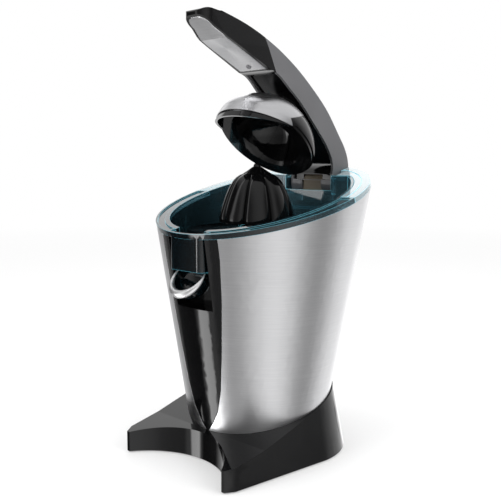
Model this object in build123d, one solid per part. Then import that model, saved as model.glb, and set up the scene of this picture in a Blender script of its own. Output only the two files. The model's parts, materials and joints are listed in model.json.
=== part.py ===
"""Electric citrus press: a round slanted steel body with a lever arm, in millimetres, +Z up.

The body leans nowhere, but its rim and its lower ring lie in parallel planes that rise to the rear.
The front, with the spout and the two legs, faces -Y, the arm's hinge is at +Y, X is the width.
"""
import os
from math import atan2, cos, degrees, pi, radians, sin, tan

from build123d import *

# Driving sizes of the body
TILT = 16.0
RIM_Z = 240.0
RIM_R = 105.5
RING_Z = 48.5
RING_Y = -4.5
RING_R = 72.5
SKIN = 1.0
SHELL = 3.0
GAP = 0.3
RUN = 0.05
OVER = 5.0
FAR = 400.0

# The cone's own axis, which the drive, the strainer and the closed press cup share
CONE_Y = -8.0

# Base: footprint, legs and the round nook that the glass stands in
BASE_SIDE_X = 83.5
BASE_REAR_Y = 78.0
LEG_FRONT_Y = 117.0
LEG_OUT_X = 73.5
LEG_OUT_Y = 108.0
LEG_TIP_X = 68.5
LEG_TIP_Z = 20.5
BASE_TOP_Z = 80.0
BASE_TOP_SIDE_X = 67.5
BASE_TOP_REAR_Y = 65.0
BASE_TOP_LEG_X = 72.5
NOOK_R = 76.0
NOOK_Y = -156.5
LIP_H = 6.0
LIP_T = 2.0
BASE_GAP_Z = 1.2
PLATE_T = 2.5
PLATE_Z = 1.7
FOOT_R = 8.0
FOOT_PLACES = ((62.0, -88.0), (52.0, 42.0))
BOSS_R = 4.5
SCREW_R = 1.5
SCREW_HEAD_R = 3.0
SCREW_HEAD_H = 1.4
SCREW_GRIP = 8.0
BOSS_PLACES = ((64.0, -62.0), (66.0, 12.0), (28.0, 60.0))
GLAND_Z = 14.0
GLAND_R = 6.0
GLAND_BORE_R = 3.5
GLAND_FLANGE_R = 8.5
GLAND_FLANGE_T = 2.0

# Front panel: half widths up its centre line, and the recess for chute and spout
PANEL_HALF = ((2.0, 29.0), (9.0, 38.0), (16.0, 50.0), (22.0, 72.0), (28.0, 111.0), (34.0, 158.0),
              (37.0, 195.0))
PANEL_T = 3.0
PANEL_BACK_Y = 55.0
RECESS_X = 24.5
RECESS_BACK_Y = 72.0
RECESS_Z = 147.0
RECESS_TOP_Z = 198.0
RECESS_WALL = 2.0

# Juice tray
FLOOR_Z = 200.0
TRAY_WALL = 2.5
BASIN_R = 90.0
BASIN_Y = -4.0
RIM_H = 5.0
RIM_LIP = 2.0
RIM_STEP = 1.4
TRAY_BACK_Y = 69.0
FLANGE_END = 10.0
NOTCH_X = 30.5
NOTCH_Z = 249.5
CHUTE_X = 22.0
CHUTE_FRONT_Y = 100.5
CHUTE_BACK_Y = 81.0
CHUTE_Z = 182.0
CHUTE_R = 6.0
CHIMNEY_R = 16.4
CHIMNEY_T = 2.2
CHIMNEY_Z = 217.0
EAR_T = 4.5
EAR_BACK_Y = 84.0
EAR_Z = 246.0
EAR_TOP_Z = 262.0
EAR_R = 6.0
STUD_R = 2.0
STUD_H = 1.0
STUD_X = 24.0
STUD_IN = 6.5

# Body top: the well under the tray and the silver cap behind it
WELL_FLOOR_Z = 195.0
WELL_GAP = 0.8
WELL_T = 1.9
DECK_T = 2.5
CHIMNEY_GAP = 0.8
WELL_CHIMNEY_T = 2.6
WELL_CHIMNEY_Z = 213.0
CAP_GAP = 0.5
TUB_T = 2.5
SLOT_X = 29.2
SLOT_BACK_Y = 99.0
POCKET_Z = 232.0
GROOVE_R = 96.5
GROOVE_W = 0.9
GROOVE_D = 0.6

# Strainer and reaming cone
STRAINER_R = 68.0
STRAINER_Z = 211.0
STRAINER_T = 2.0
STRAINER_HUB_T = 3.0
STRAINER_HUB_H = 3.0
STRAINER_EDGE_H = 4.0
SLITS = 48
SLIT_W = 2.0
SLIT_IN_R = 44.0
SLIT_OUT_R = 62.0
REST_R = 3.0
REST_AT_R = 64.5
RESTS = 4
CONE_Z = 220.5
CONE_TOP_H = 47.0
CONE_RADII = (36.8, 36.6, 34.8, 31.8, 28.2, 23.6, 15.0)
CONE_HEIGHT_SHARES = (0.0, 0.106383, 0.276596, 0.468085, 0.659574, 0.840426, 1.0)
CONE_PROFILE = tuple((r, share * CONE_TOP_H) for r, share in zip(CONE_RADII, CONE_HEIGHT_SHARES))
LOBES = 8
LOBE_GAP = 2.0
LOBE_GAP_DEPTH = 4.5
NUB_R = 3.2
NUB_H = 10.0
NUB_FOOT_R = 4.0
NUB_FIN_T = 2.6
NUB_FIN_R = 12.5
NUB_FIN_H = 6.5

# Drive
SPINDLE_FLAT = 8.0
SPINDLE_PLAY = 0.3
SPINDLE_Z = 133.0
SPINDLE_TOP = 256.0
PRESS_TRAVEL = 2.5
COLLAR_R = 20.0
COLLAR_T = 2.5
COLLAR_Z = 178.0
SEAL_Z = 206.5
SEAL_H = 4.5
SPRING_R = 8.6
SPRING_WIRE_R = 0.7

# Gear train
MODULE = 1.0
ADDENDUM_SHARE = 0.8
DEDENDUM_SHARE = 1.0
BACKLASH = 0.24
PRESSURE_ANGLE = 22.5
PINION_TEETH = 14
WHEEL_TEETH = 52
SMALL_TEETH = 16
OUTPUT_TEETH = 64
IDLER_ANGLE = 150.0
MOTOR_ANGLE = 0.0
STAGE_1_Z = 135.0
STAGE_1_H = 7.0
STAGE_2_Z = 144.5
STAGE_2_H = 9.0

# Chassis, gearbox and motor
DECK_Z = 124.0
DECK_PLATE_T = 4.0
DECK_PLATE_R = 72.0
DECK_PLATE_Y = -3.0
POST_R = 5.0
POST_AT_R = 60.0
POST_ANGLES = (40.0, 140.0, 220.0, 320.0)
LID_POSTS = ((-50.0, -20.0), (-50.0, 24.0))
BOX_R = 57.0
BOX_X = -14.0
BOX_WALL = 3.0
BOX_FLOOR_T = 3.0
BOX_TOP_Z = 158.0
BOX_LID_T = 3.0
BOSS_OUT_R = 11.0
BUSH_R = 8.0
JOURNAL_R = 6.0
BUSH_LOW_TOP = 141.0
BUSH_HIGH_TOP = 168.0
CLIP_R = 10.0
CLIP_T = 1.2
AXLE_R = 3.0
BOX_SCREW_R_AT = 53.0
BOX_SCREW_ANGLES = (30.0, 70.0, 100.0, 215.0, 245.0, 330.0)
BOX_PAD_R = 3.6
MOTOR_R = 27.0
MOTOR_BOTTOM_Z = 66.0
MOTOR_BELL_H = 12.0
MOTOR_NOSE_R = 9.0
MOTOR_SHAFT_R = 2.5
MOTOR_SCREW_AT_R = 16.0

# Microswitch
SWITCH_X = 13.0
SWITCH_L = 24.0
SWITCH_W = 10.0
SWITCH_TOP_Z = 171.5
PLUNGER_X = 17.0
PLUNGER_R = 1.8
PLUNGER_BURIED = 4.0

# Spout: a scoop whose round lip looks forwards and up
LIP_Y = -95.5
LIP_Z = 176.5
LIP_R = 20.2
LIP_LEAN = 40.0
SPOUT_T = 2.0
SPOUT_DEPTH = 20.0
SPOUT_PROFILE_SHARES = ((1.0, 0.0), (0.95, 0.25), (0.80, 0.62), (0.52, 0.90), (0.30, 1.0))
SPOUT_TOP_Z = 180.8
SPOUT_PIN_Y = -79.0
SPOUT_PIN_Z = 175.0
SPOUT_PIN_R = 1.8
SPOUT_LUG_R = 4.2
SPOUT_LUG_X = 20.5
LIP_TRIM_R = 2.1

# Arm hinge and the arm's side outline, as Y and Z of the open arm
PIN_Y = 85.0
PIN_Z = 256.5
PIN_R = 4.0
PIN_X = 27.0
LUG_R = 13.0
LUG_IN_X = 12.8
BLOCK_X = 12.3
BLOCK_R = 11.0
BLOCK_BASE_T = 5.0
BLOCK_BASE_X = 24.0
ARM_X = 28.0
ARM_TOP_X = 19.5
ARM_TIP_X = 15.0
ARM_WIDE_Z = 296.0
ARM_TOP_Z = 384.0
ARM_TIP_Z = 408.0
ARM_WALL = 3.0
ARM_OUTER = ((98.0, 268.0), (95.0, 285.0), (84.0, 303.0), (68.0, 327.0), (47.5, 348.5), (26.5, 366.5),
             (0.0, 384.0), (-25.0, 397.0), (-50.0, 406.0), (-68.0, 410.5))
ARM_NOSE = ((-80.0, 411.5), (-87.0, 410.5), (-90.0, 406.5))
ARM_REACH = 89.0
ARM_CORNER_R = 11.0
ARM_BEND = (-64.0, 388.5)
GRIP_START = (-11.0, 363.5)
GRIP_TIP = (-86.5, 404.5)
ARM_INNER = ((0.0, 359.0), (13.0, 348.0), (26.5, 336.5), (39.5, 322.0), (53.0, 306.5), (66.0, 290.0),
             (72.5, 277.0), (72.0, 266.0))
HANDLE_CUT = ((-13.0, 385.0), (-4.0, 360.0))
GRIP_T = 2.0
GRIP_PROUD = 0.6
GRIP_MARGIN = 2.6
GRIP_SCREW_AT_SHARE = 0.16
GRIP_SCREW_R = 2.4
GRIP_SCREW_H = 0.8

# Dome of the press, about its own axis, heights above its mouth
DOME_Y = 2.4
DOME_Z = 299.3
DOME_TILT = 42.3
DOME_PROFILE = ((51.5, 0.0), (51.3, 5.0), (48.5, 12.0), (42.5, 21.0), (33.0, 30.0), (21.0, 37.5), (9.0, 41.5))
TIP_SHARE = 0.01
COVER_T = 1.2
COVER_DROOP = 9.0
COVER_EDGE = -17.5
COVER_EDGE_TOP = 22.0
SKIRT_T = 3.5
SKIRT_DROOP = 17.0
CUP_PROFILE = ((37.0, 0.0), (34.8, 4.0), (31.8, 13.0), (26.8, 22.5), (18.5, 31.0), (9.0, 35.4))
CUP_WALL = 2.5
CUP_PLATE_T = 3.0
HOOD_T = 2.0
CUP_RIBS = 8
CUP_RIB_T = 2.0
CUP_RIB_H = 1.6
CUP_RIB_END_R = 10.0
MOUNT_R = 12.0
MOUNT_H = 14.0
DOME_SCREW_R = 3.5
ARM_CLEAR = 0.4

# Derived places
SLOPE = tan(radians(TILT))
CENTRE_12 = MODULE * (PINION_TEETH + WHEEL_TEETH) / 2
CENTRE_34 = MODULE * (SMALL_TEETH + OUTPUT_TEETH) / 2
IDLER_X = CENTRE_34 * cos(radians(IDLER_ANGLE))
IDLER_Y = CONE_Y + CENTRE_34 * sin(radians(IDLER_ANGLE))
MOTOR_X = IDLER_X + CENTRE_12 * cos(radians(MOTOR_ANGLE))
MOTOR_Y = IDLER_Y + CENTRE_12 * sin(radians(MOTOR_ANGLE))
SPINDLE_R = SPINDLE_FLAT / 3 ** 0.5
BOX_FLOOR_Z = DECK_Z + DECK_PLATE_T
REAR_REACH = PIN_Y + LUG_R
ORIGIN_Y = (REAR_REACH - LEG_FRONT_Y) / 2
DOME_SEAT = Pos(0, DOME_Y, DOME_Z) * Rot(-DOME_TILT, 0, 0)
RIM_PLACE = Pos(0, 0, RIM_Z) * Rot(TILT, 0, 0)
RING_PLACE = Pos(0, RING_Y, RING_Z) * Rot(TILT, 0, 0)
LIP_SEAT = Pos(0, LIP_Y, LIP_Z) * Rot(90 - LIP_LEAN, 0, 0)
MIN_Z = (Align.CENTER, Align.CENTER, Align.MIN)


# Basic solids
def rod(radius, low, high, x=0, y=0):
    return Pos(x, y, low) * Cylinder(radius, high - low, align=MIN_Z)


def tube(outer, inner, low, high, x=0, y=0):
    return rod(outer, low, high, x, y) - rod(inner, low - OVER, high + OVER, x, y)


def block(x0, x1, y0, y1, z0, z1):
    middle = Pos((x0 + x1) / 2, (y0 + y1) / 2, (z0 + z1) / 2)
    return middle * Box(x1 - x0, y1 - y0, z1 - z0)


def cross_rod(radius, x0, x1, y, z):
    return Pos(x0, y, z) * Rot(0, 90, 0) * Cylinder(radius, x1 - x0, align=MIN_Z)


def fins(radius, thick, low, high, count):
    fin = block(-radius, radius, -thick / 2, thick / 2, low, high)
    return [Rot(0, 0, 360 * i / count) * fin for i in range(count // 2)]


def side_prism(points, half_width):
    """A closed outline of (Y, Z) points, drawn out sideways."""
    face = make_face(Plane.YZ * Polyline(*points, close=True))
    return extrude(face, half_width, both=True)


def front_prism(points, y0, y1):
    """A closed outline of (X, Z) points, drawn out along the depth."""
    face = make_face(Plane.XZ * Polyline(*points, close=True))
    return Pos(0, y0, 0) * extrude(face, y0 - y1)


def turned(points, place):
    """A solid of revolution from (radius, height) points, closed along its axis."""
    line = Spline(*points)
    closing = Polyline(points[-1], (0, points[-1][1]), (0, points[0][1]), points[0])
    return place * revolve(make_face(Plane.XZ * (line + closing)), Axis.Z)


def mirrored(solid):
    return [solid, mirror(solid, Plane.YZ)]


# Body sections between the lower ring and the rim
def body_face(share, inset):
    place = Pos(0, RING_Y * (1 - share), RING_Z + (RIM_Z - RING_Z) * share) * Rot(TILT, 0, 0)
    return place * Circle(RING_R + (RIM_R - RING_R) * share - inset)


def body_cone(low_share, high_share, inset):
    faces = [body_face(low_share, inset).face(), body_face(high_share, inset).face()]
    return loft(faces, ruled=True)


def under_rim(height):
    """Everything below the plane that lies this far above the rim."""
    return RIM_PLACE * Pos(0, 0, height - FAR) * Cylinder(FAR, FAR, align=MIN_Z)


def panel_outline(margin):
    right = [(half + margin, z) for half, z in PANEL_HALF]
    top = [(PANEL_HALF[-1][0] + margin, RIM_Z), (-PANEL_HALF[-1][0] - margin, RIM_Z)]
    left = [(-x, z) for x, z in reversed(right)]
    tip = (0, PANEL_HALF[0][1] - margin - PANEL_HALF[0][0])
    return right + top + left + [tip]


# Base
def base_outline(z, inset, high):
    side = (BASE_TOP_SIDE_X if high else BASE_SIDE_X) - inset
    rear = (BASE_TOP_REAR_Y if high else BASE_REAR_Y) - inset
    leg = (BASE_TOP_LEG_X if high else LEG_OUT_X) - inset
    tip = LEG_TIP_X - inset
    front = inset - LEG_FRONT_Y
    arc = EllipticalCenterArc((0, 0), side, rear, start_angle=0, arc_size=180)
    line = Polyline((-side, 0), (-leg, -LEG_OUT_Y), (-tip, front), (tip, front), (leg, -LEG_OUT_Y), (side, 0))
    return (Pos(0, 0, z) * make_face(arc + line)).face()


def base_solid(inset, low):
    body = loft([base_outline(low, inset, False), base_outline(BASE_TOP_Z, inset, True)], ruled=True)
    ring_front = (RING_Y - RING_R * cos(radians(TILT)), RING_Z - RING_R * sin(radians(TILT)) - inset)
    rear_z = RING_Z + (FAR - RING_Y) * SLOPE - inset
    cover = side_prism([(-FAR, ring_front[1]), (-LEG_FRONT_Y, LEG_TIP_Z - inset), ring_front,
                        (FAR, rear_z), (FAR, FAR + FAR), (-FAR, FAR + FAR)], FAR)
    return body - cover - rod(NOOK_R + inset, -OVER, FAR, 0, NOOK_Y)


def base_shell():
    shell = base_solid(0, BASE_GAP_Z) - base_solid(SHELL, BASE_GAP_Z)
    high = LIP_H / (RIM_Z - RING_Z)
    lip = body_cone(0, high, SKIN + GAP) - body_cone(-high, high + high, SKIN + GAP + LIP_T)
    shell += lip - front_prism(panel_outline(GAP), 0, -FAR)
    for x, y in BOSS_PLACES:
        top = RING_Z + (y - RING_Y) * SLOPE - SHELL / 2
        post = rod(BOSS_R, PLATE_Z + PLATE_T, top, x, y)
        post -= rod(SCREW_R, 0, PLATE_Z + PLATE_T + SCREW_GRIP, x, y)
        for piece in mirrored(post):
            shell += piece
    return shell - gland_solid()


def base_plate():
    plate = base_solid(SHELL + GAP, PLATE_Z) & block(-FAR, FAR, -FAR, FAR, PLATE_Z, PLATE_Z + PLATE_T)
    for x, y in BOSS_PLACES:
        for side in (1, -1):
            plate -= rod(SCREW_R + GAP, 0, FAR, side * x, y)
    return plate


def base_screws():
    group = []
    for x, y in BOSS_PLACES:
        screw = rod(SCREW_HEAD_R, PLATE_Z - SCREW_HEAD_H, PLATE_Z, x, y)
        screw += rod(SCREW_R, PLATE_Z, PLATE_Z + PLATE_T + SCREW_GRIP, x, y)
        group += mirrored(screw)
    return group


def rubber_feet():
    return [piece for x, y in FOOT_PLACES for piece in mirrored(rod(FOOT_R, 0, PLATE_Z, x, y))]


def gland_solid():
    face = BASE_REAR_Y * (1 - GLAND_Z / BASE_TOP_Z) + BASE_TOP_REAR_Y * GLAND_Z / BASE_TOP_Z
    place = Pos(0, face - SHELL - GLAND_FLANGE_T, GLAND_Z) * Rot(-90, 0, 0)
    sleeve = Cylinder(GLAND_R, SHELL + GLAND_FLANGE_T + GLAND_FLANGE_T, align=MIN_Z)
    flange = Cylinder(GLAND_FLANGE_R, GLAND_FLANGE_T, align=MIN_Z)
    outer = Pos(0, 0, SHELL + GLAND_FLANGE_T + GLAND_FLANGE_T / 2) * flange
    return place * (sleeve + flange + outer)


def cord_gland():
    return gland_solid() - Pos(0, FAR, GLAND_Z) * Rot(90, 0, 0) * Cylinder(GLAND_BORE_R, FAR, align=MIN_Z)


# Steel wrap and front panel
def steel_wrap():
    over = SKIN / (RIM_Z - RING_Z)
    wrap = body_cone(0, 1, 0) - body_cone(-over, 1 + over, SKIN)
    return wrap - front_prism(panel_outline(GAP), 0, -FAR) - hinge_tub(GAP)


def recess(grow):
    return block(-RECESS_X - grow, RECESS_X + grow, -FAR, grow - RECESS_BACK_Y, RECESS_Z - grow, FAR + FAR)


def front_panel():
    body = body_cone(0, 1, 0)
    plate = body - body_cone(-SKIN / RIM_Z, 1 + SKIN / RIM_Z, PANEL_T)
    plate &= front_prism(panel_outline(0), 0, -FAR)
    niche = recess(RECESS_WALL) & body & block(-FAR, FAR, -FAR, FAR, 0, RECESS_TOP_Z)
    panel = plate + niche - recess(0)
    pin = cross_rod(SPOUT_PIN_R, -RECESS_X - RECESS_WALL, RECESS_X + RECESS_WALL, SPOUT_PIN_Y, SPOUT_PIN_Z)
    return panel - pin


# Body top
def basin(radius, back_y, low):
    round_part = rod(radius, low, FAR + FAR, 0, BASIN_Y)
    return round_part & block(-FAR, FAR, -FAR, back_y, low, FAR + FAR)


def hinge_pocket():
    return block(-SLOT_X, SLOT_X, TRAY_BACK_Y - OVER, FAR, POCKET_Z, FAR + FAR)


def hinge_tub(grow):
    reach = SLOT_X + TUB_T + grow
    return block(-reach, reach, TRAY_BACK_Y + WELL_GAP - grow, FAR, POCKET_Z - TUB_T - grow, FAR + FAR)


def ear_pocket():
    reach = NOTCH_X + EAR_T + CAP_GAP
    return block(-reach, reach, TRAY_BACK_Y - OVER, EAR_BACK_Y + CAP_GAP, EAR_Z - CAP_GAP, FAR + FAR)


def top_deck():
    inner = body_cone(0, 1 + SKIN / RIM_Z, SKIN + GAP)
    plate = inner & under_rim(0) - under_rim(-DECK_T)
    outer_r = BASIN_R + WELL_GAP + WELL_T
    back = TRAY_BACK_Y + WELL_GAP
    well = basin(outer_r, back + WELL_T, WELL_FLOOR_Z) & under_rim(-DECK_T / 2) & inner
    well -= basin(BASIN_R + WELL_GAP, back, WELL_FLOOR_Z + WELL_T)
    deck = plate + well
    deck -= basin(BASIN_R + WELL_GAP, back, WELL_FLOOR_Z + WELL_T)
    deck -= hinge_tub(CAP_GAP) + ear_pocket()
    chimney_r = CHIMNEY_R - CHIMNEY_GAP
    deck += tube(chimney_r, chimney_r - WELL_CHIMNEY_T, WELL_FLOOR_Z, WELL_CHIMNEY_Z, 0, CONE_Y)
    deck -= rod(chimney_r - WELL_CHIMNEY_T, WELL_FLOOR_Z - OVER, FAR + FAR, 0, CONE_Y)
    front = block(-RECESS_X - RECESS_WALL - GAP, RECESS_X + RECESS_WALL + GAP, -FAR,
                  RECESS_WALL + GAP - RECESS_BACK_Y, 0, FAR + FAR)
    slot = front_prism(panel_outline(GAP), 0, -FAR)
    slot -= body_cone(-SKIN / RIM_Z, 1 + SKIN / RIM_Z, PANEL_T + GAP)
    return deck - front - slot


def rear_cap():
    ring = RIM_PLACE * Cylinder(RIM_R, RIM_H, align=MIN_Z)
    ring -= RIM_PLACE * Pos(0, FLANGE_END + CAP_GAP - FAR, 0) * Box(FAR + FAR, FAR + FAR, FAR)
    ring -= basin(BASIN_R + CAP_GAP, TRAY_BACK_Y + CAP_GAP, 0)
    groove = Cylinder(GROOVE_R + GROOVE_W, GROOVE_D, align=MIN_Z) - Cylinder(GROOVE_R, FAR)
    ring -= RIM_PLACE * Pos(0, 0, RIM_H - GROOVE_D) * groove
    tub = hinge_tub(0) & body_cone(0, 1, 0)
    return ring + tub - hinge_pocket() - ear_pocket()


# Juice tray
def chute(grow, low):
    x = CHUTE_X - TRAY_WALL + grow
    front = CHUTE_FRONT_Y - TRAY_WALL + grow
    back = CHUTE_BACK_Y + TRAY_WALL - grow
    body = block(-x, x, -front, -back, low, FAR + FAR)
    edges = [e for e in body.edges().filter_by(Axis.Z) if e.center().Y < -(front + back) / 2]
    return fillet(edges, CHUTE_R - TRAY_WALL + grow)


def juice_tray():
    flange = RIM_PLACE * Cylinder(RIM_R, RIM_H, align=MIN_Z)
    flange -= RIM_PLACE * Pos(0, FLANGE_END + FAR, 0) * Box(FAR + FAR, FAR + FAR, FAR)
    bowl = basin(BASIN_R, TRAY_BACK_Y, FLOOR_Z) & under_rim(RIM_H)
    lobe = chute(TRAY_WALL, CHUTE_Z) & under_rim(RIM_H / 2)
    tray = flange + bowl + lobe
    tray -= basin(BASIN_R - TRAY_WALL, TRAY_BACK_Y - TRAY_WALL, FLOOR_Z + TRAY_WALL)
    tray -= chute(0, CHUTE_Z - OVER)
    step = Cylinder(RIM_R - RIM_LIP, FAR, align=MIN_Z)
    step_in = rod(BASIN_R + RIM_LIP, 0, FAR + FAR, 0, BASIN_Y)
    trench = RIM_PLACE * Pos(0, 0, RIM_H - RIM_STEP) * step - step_in
    trench -= RIM_PLACE * Pos(0, FLANGE_END - RIM_LIP + FAR, 0) * Box(FAR + FAR, FAR + FAR, FAR)
    tray -= trench
    tray -= block(-NOTCH_X, NOTCH_X, TRAY_BACK_Y - TRAY_WALL - OVER, FAR, NOTCH_Z, FAR + FAR)
    for x in (-NOTCH_X - EAR_T, NOTCH_X):
        ear = block(x, x + EAR_T, TRAY_BACK_Y - TRAY_WALL, EAR_BACK_Y, EAR_Z, EAR_TOP_Z)
        top = ear.edges().filter_by(Axis.X).sort_by(Axis.Z)[-2:].sort_by(Axis.Y)[-1]
        tray += fillet(top, EAR_R)
    tray += rod(CHIMNEY_R + CHIMNEY_T, FLOOR_Z, CHIMNEY_Z, 0, CONE_Y)
    tray -= rod(CHIMNEY_R, FLOOR_Z - OVER, FAR + FAR, 0, CONE_Y)
    for i in range(RESTS):
        turn = Pos(0, CONE_Y, 0) * Rot(0, 0, 45 + 360 * i / RESTS) * Pos(REST_AT_R, 0, 0)
        tray += turn * rod(REST_R, FLOOR_Z + TRAY_WALL / 2, STRAINER_Z)
    for x in (-STUD_X, STUD_X):
        depth = -((RIM_R - STUD_IN) ** 2 - x ** 2) ** 0.5
        tray += RIM_PLACE * Pos(x, depth, RIM_H - RIM_STEP) * Cylinder(STUD_R, STUD_H, align=MIN_Z)
    return tray


# Strainer and cone
def strainer():
    inner = CHIMNEY_R + CHIMNEY_T + GAP
    disc = tube(STRAINER_R, inner, STRAINER_Z, STRAINER_Z + STRAINER_T)
    disc += tube(inner + STRAINER_HUB_T, inner, STRAINER_Z, STRAINER_Z + STRAINER_HUB_H)
    disc += tube(STRAINER_R, STRAINER_R - STRAINER_T, STRAINER_Z, STRAINER_Z + STRAINER_EDGE_H)
    slit = block(SLIT_IN_R, SLIT_OUT_R, -SLIT_W / 2, SLIT_W / 2, 0, FAR + FAR)
    slits = [Rot(0, 0, 360 * (i + 0.5) / SLITS) * slit for i in range(SLITS)]
    return Pos(0, CONE_Y, 0) * (disc - slits)


def hexagon(flat, low, high):
    return Pos(0, CONE_Y, low) * extrude(RegularPolygon(flat / 2, 6, major_radius=False), high - low)


def reaming_cone():
    body = turned(CONE_PROFILE, Pos(0, 0, 0))
    low_r = CONE_PROFILE[0][0]
    line = [(r - LOBE_GAP_DEPTH, h) for r, h in CONE_PROFILE]
    line = [(line[0][0], -OVER)] + line + [(line[-1][0], CONE_TOP_H + OVER)]
    outside = [(low_r + OVER, CONE_TOP_H + OVER), (low_r + OVER, -OVER)]
    gap = extrude(make_face(Plane.XZ * Polyline(*line, *outside, close=True)), LOBE_GAP / 2, both=True)
    for i in range(LOBES):
        body -= Rot(0, 0, 360 * (i + 0.5) / LOBES) * gap
    return Pos(0, CONE_Y, CONE_Z) * body - hexagon(SPINDLE_FLAT + SPINDLE_PLAY / 2, 0, SPINDLE_TOP + GAP)


def cone_nub():
    place = Pos(0, CONE_Y, CONE_Z)
    core = Cone(NUB_FOOT_R, NUB_R / 2, NUB_H, align=MIN_Z)
    tip_z = CONE_TOP_H + NUB_FIN_H
    nub = Pos(0, 0, CONE_TOP_H) * core
    outline = [(-NUB_FIN_R, CONE_TOP_H), (NUB_FIN_R, CONE_TOP_H), (NUB_R, tip_z), (-NUB_R, tip_z)]
    fin = extrude(make_face(Plane.XZ * Polyline(*outline, close=True)), NUB_FIN_T / 2, both=True)
    for i in range(LOBES // 2):
        nub += Rot(0, 0, 360 * i / LOBES) * fin
    return place * nub


# Gears
def involute_point(base, angle):
    return (base * (cos(angle) + angle * sin(angle)), base * (sin(angle) - angle * cos(angle)))


def gear(teeth, phase, low, high, x, y):
    pitch = MODULE * teeth / 2
    base = pitch * cos(radians(PRESSURE_ANGLE))
    root = pitch - MODULE * DEDENDUM_SHARE
    tip = pitch + MODULE * ADDENDUM_SHARE
    half = (MODULE * pi / 2 - BACKLASH) / 2 / pitch + tan(radians(PRESSURE_ANGLE)) - radians(PRESSURE_ANGLE)
    steps = 4
    low_angle = 0 if root < base else ((root / base) ** 2 - 1) ** 0.5
    high_angle = ((tip / base) ** 2 - 1) ** 0.5
    flank = []
    for i in range(steps + 1):
        along = low_angle + (high_angle - low_angle) * i / steps
        px, py = involute_point(base, along)
        flank.append((px * cos(half) + py * sin(half), py * cos(half) - px * sin(half)))
    if root < base:
        flank = [(root * cos(half), -root * sin(half))] + flank
    tooth = flank + [(px, -py) for px, py in reversed(flank)]
    outline = []
    for i in range(teeth):
        turn = radians(phase) + 2 * pi * i / teeth
        outline += [(px * cos(turn) - py * sin(turn), px * sin(turn) + py * cos(turn)) for px, py in tooth]
    return Pos(x, y, low) * extrude(make_face(Polyline(*outline, close=True)), high - low)


def output_gear():
    wheel = gear(OUTPUT_TEETH, IDLER_ANGLE, STAGE_2_Z, STAGE_2_Z + STAGE_2_H, 0, CONE_Y)
    wheel += rod(JOURNAL_R, BOX_FLOOR_Z + GAP, BUSH_HIGH_TOP + CLIP_T + CLIP_T, 0, CONE_Y)
    wheel += rod(BUSH_R, BUSH_LOW_TOP + GAP, BOX_TOP_Z - GAP, 0, CONE_Y)
    return wheel - hexagon(SPINDLE_FLAT + SPINDLE_PLAY, 0, FAR + FAR)


def drive_clip():
    return tube(CLIP_R, JOURNAL_R, BUSH_HIGH_TOP + GAP, BUSH_HIGH_TOP + GAP + CLIP_T, 0, CONE_Y)


def idler_gear():
    facing = IDLER_ANGLE + 180 + 180 / SMALL_TEETH
    small = gear(SMALL_TEETH, facing, STAGE_1_Z + STAGE_1_H, STAGE_2_Z + STAGE_2_H, IDLER_X, IDLER_Y)
    wheel = gear(WHEEL_TEETH, MOTOR_ANGLE, STAGE_1_Z, STAGE_1_Z + STAGE_1_H, IDLER_X, IDLER_Y)
    return wheel + small - rod(AXLE_R + RUN, 0, FAR + FAR, IDLER_X, IDLER_Y)


def motor_shaft():
    facing = MOTOR_ANGLE + 180 + 180 / PINION_TEETH
    pinion = gear(PINION_TEETH, facing, STAGE_1_Z, STAGE_1_Z + STAGE_1_H, MOTOR_X, MOTOR_Y)
    return pinion + rod(MOTOR_SHAFT_R, MOTOR_BOTTOM_Z + MOTOR_BELL_H / 2, STAGE_1_Z, MOTOR_X, MOTOR_Y)


def idler_axle():
    return rod(AXLE_R, BOX_FLOOR_Z, BOX_TOP_Z, IDLER_X, IDLER_Y)


# Spindle, spring, seal and switch
def drive_spindle():
    spindle = hexagon(SPINDLE_FLAT, SPINDLE_Z, SPINDLE_TOP)
    collar = rod(COLLAR_R, COLLAR_Z, COLLAR_Z + COLLAR_T, 0, CONE_Y)
    return spindle + collar


def return_spring():
    low = BUSH_HIGH_TOP + GAP + CLIP_T
    return tube(SPRING_R, SPRING_R - SPRING_WIRE_R - SPRING_WIRE_R, low, COLLAR_Z, 0, CONE_Y)


def shaft_seal():
    outer = CHIMNEY_R - CHIMNEY_GAP - WELL_CHIMNEY_T
    inner = SPINDLE_R + GAP
    ring = tube(outer, inner, SEAL_Z, SEAL_Z + SEAL_H, 0, CONE_Y)
    mouth = Cone(inner, outer - WELL_CHIMNEY_T, SEAL_H, align=MIN_Z)
    return ring - Pos(0, CONE_Y, SEAL_Z + SEAL_H / 2) * mouth


def microswitch():
    low = BOX_TOP_Z + BOX_LID_T
    half = SWITCH_W / 2
    body = block(SWITCH_X, SWITCH_X + SWITCH_L, CONE_Y - half, CONE_Y + half, low, SWITCH_TOP_Z)
    depth = PLUNGER_BURIED + PRESS_TRAVEL + GAP
    return body - rod(PLUNGER_R + RUN, SWITCH_TOP_Z - depth, FAR, PLUNGER_X, CONE_Y)


def switch_plunger():
    return rod(PLUNGER_R, SWITCH_TOP_Z - PLUNGER_BURIED, COLLAR_Z - GAP / 3, PLUNGER_X, CONE_Y)


# Chassis, gearbox and motor
def chassis():
    plate = rod(DECK_PLATE_R, DECK_Z, BOX_FLOOR_Z, 0, DECK_PLATE_Y)
    for angle in POST_ANGLES:
        x = POST_AT_R * cos(radians(angle))
        y = DECK_PLATE_Y + POST_AT_R * sin(radians(angle))
        plate += rod(POST_R, 0, WELL_FLOOR_Z if x > 0 else DECK_Z, x, y)
    below = RING_PLACE * Pos(0, 0, -FAR) * Cylinder(FAR, FAR, align=MIN_Z)
    nose = rod(MOTOR_NOSE_R + GAP, 0, FAR, MOTOR_X, MOTOR_Y)
    frame = plate - below - nose
    for side in (-1, 1):
        frame -= rod(SCREW_R, 0, FAR, MOTOR_X + side * MOTOR_SCREW_AT_R, MOTOR_Y)
    return frame


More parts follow.
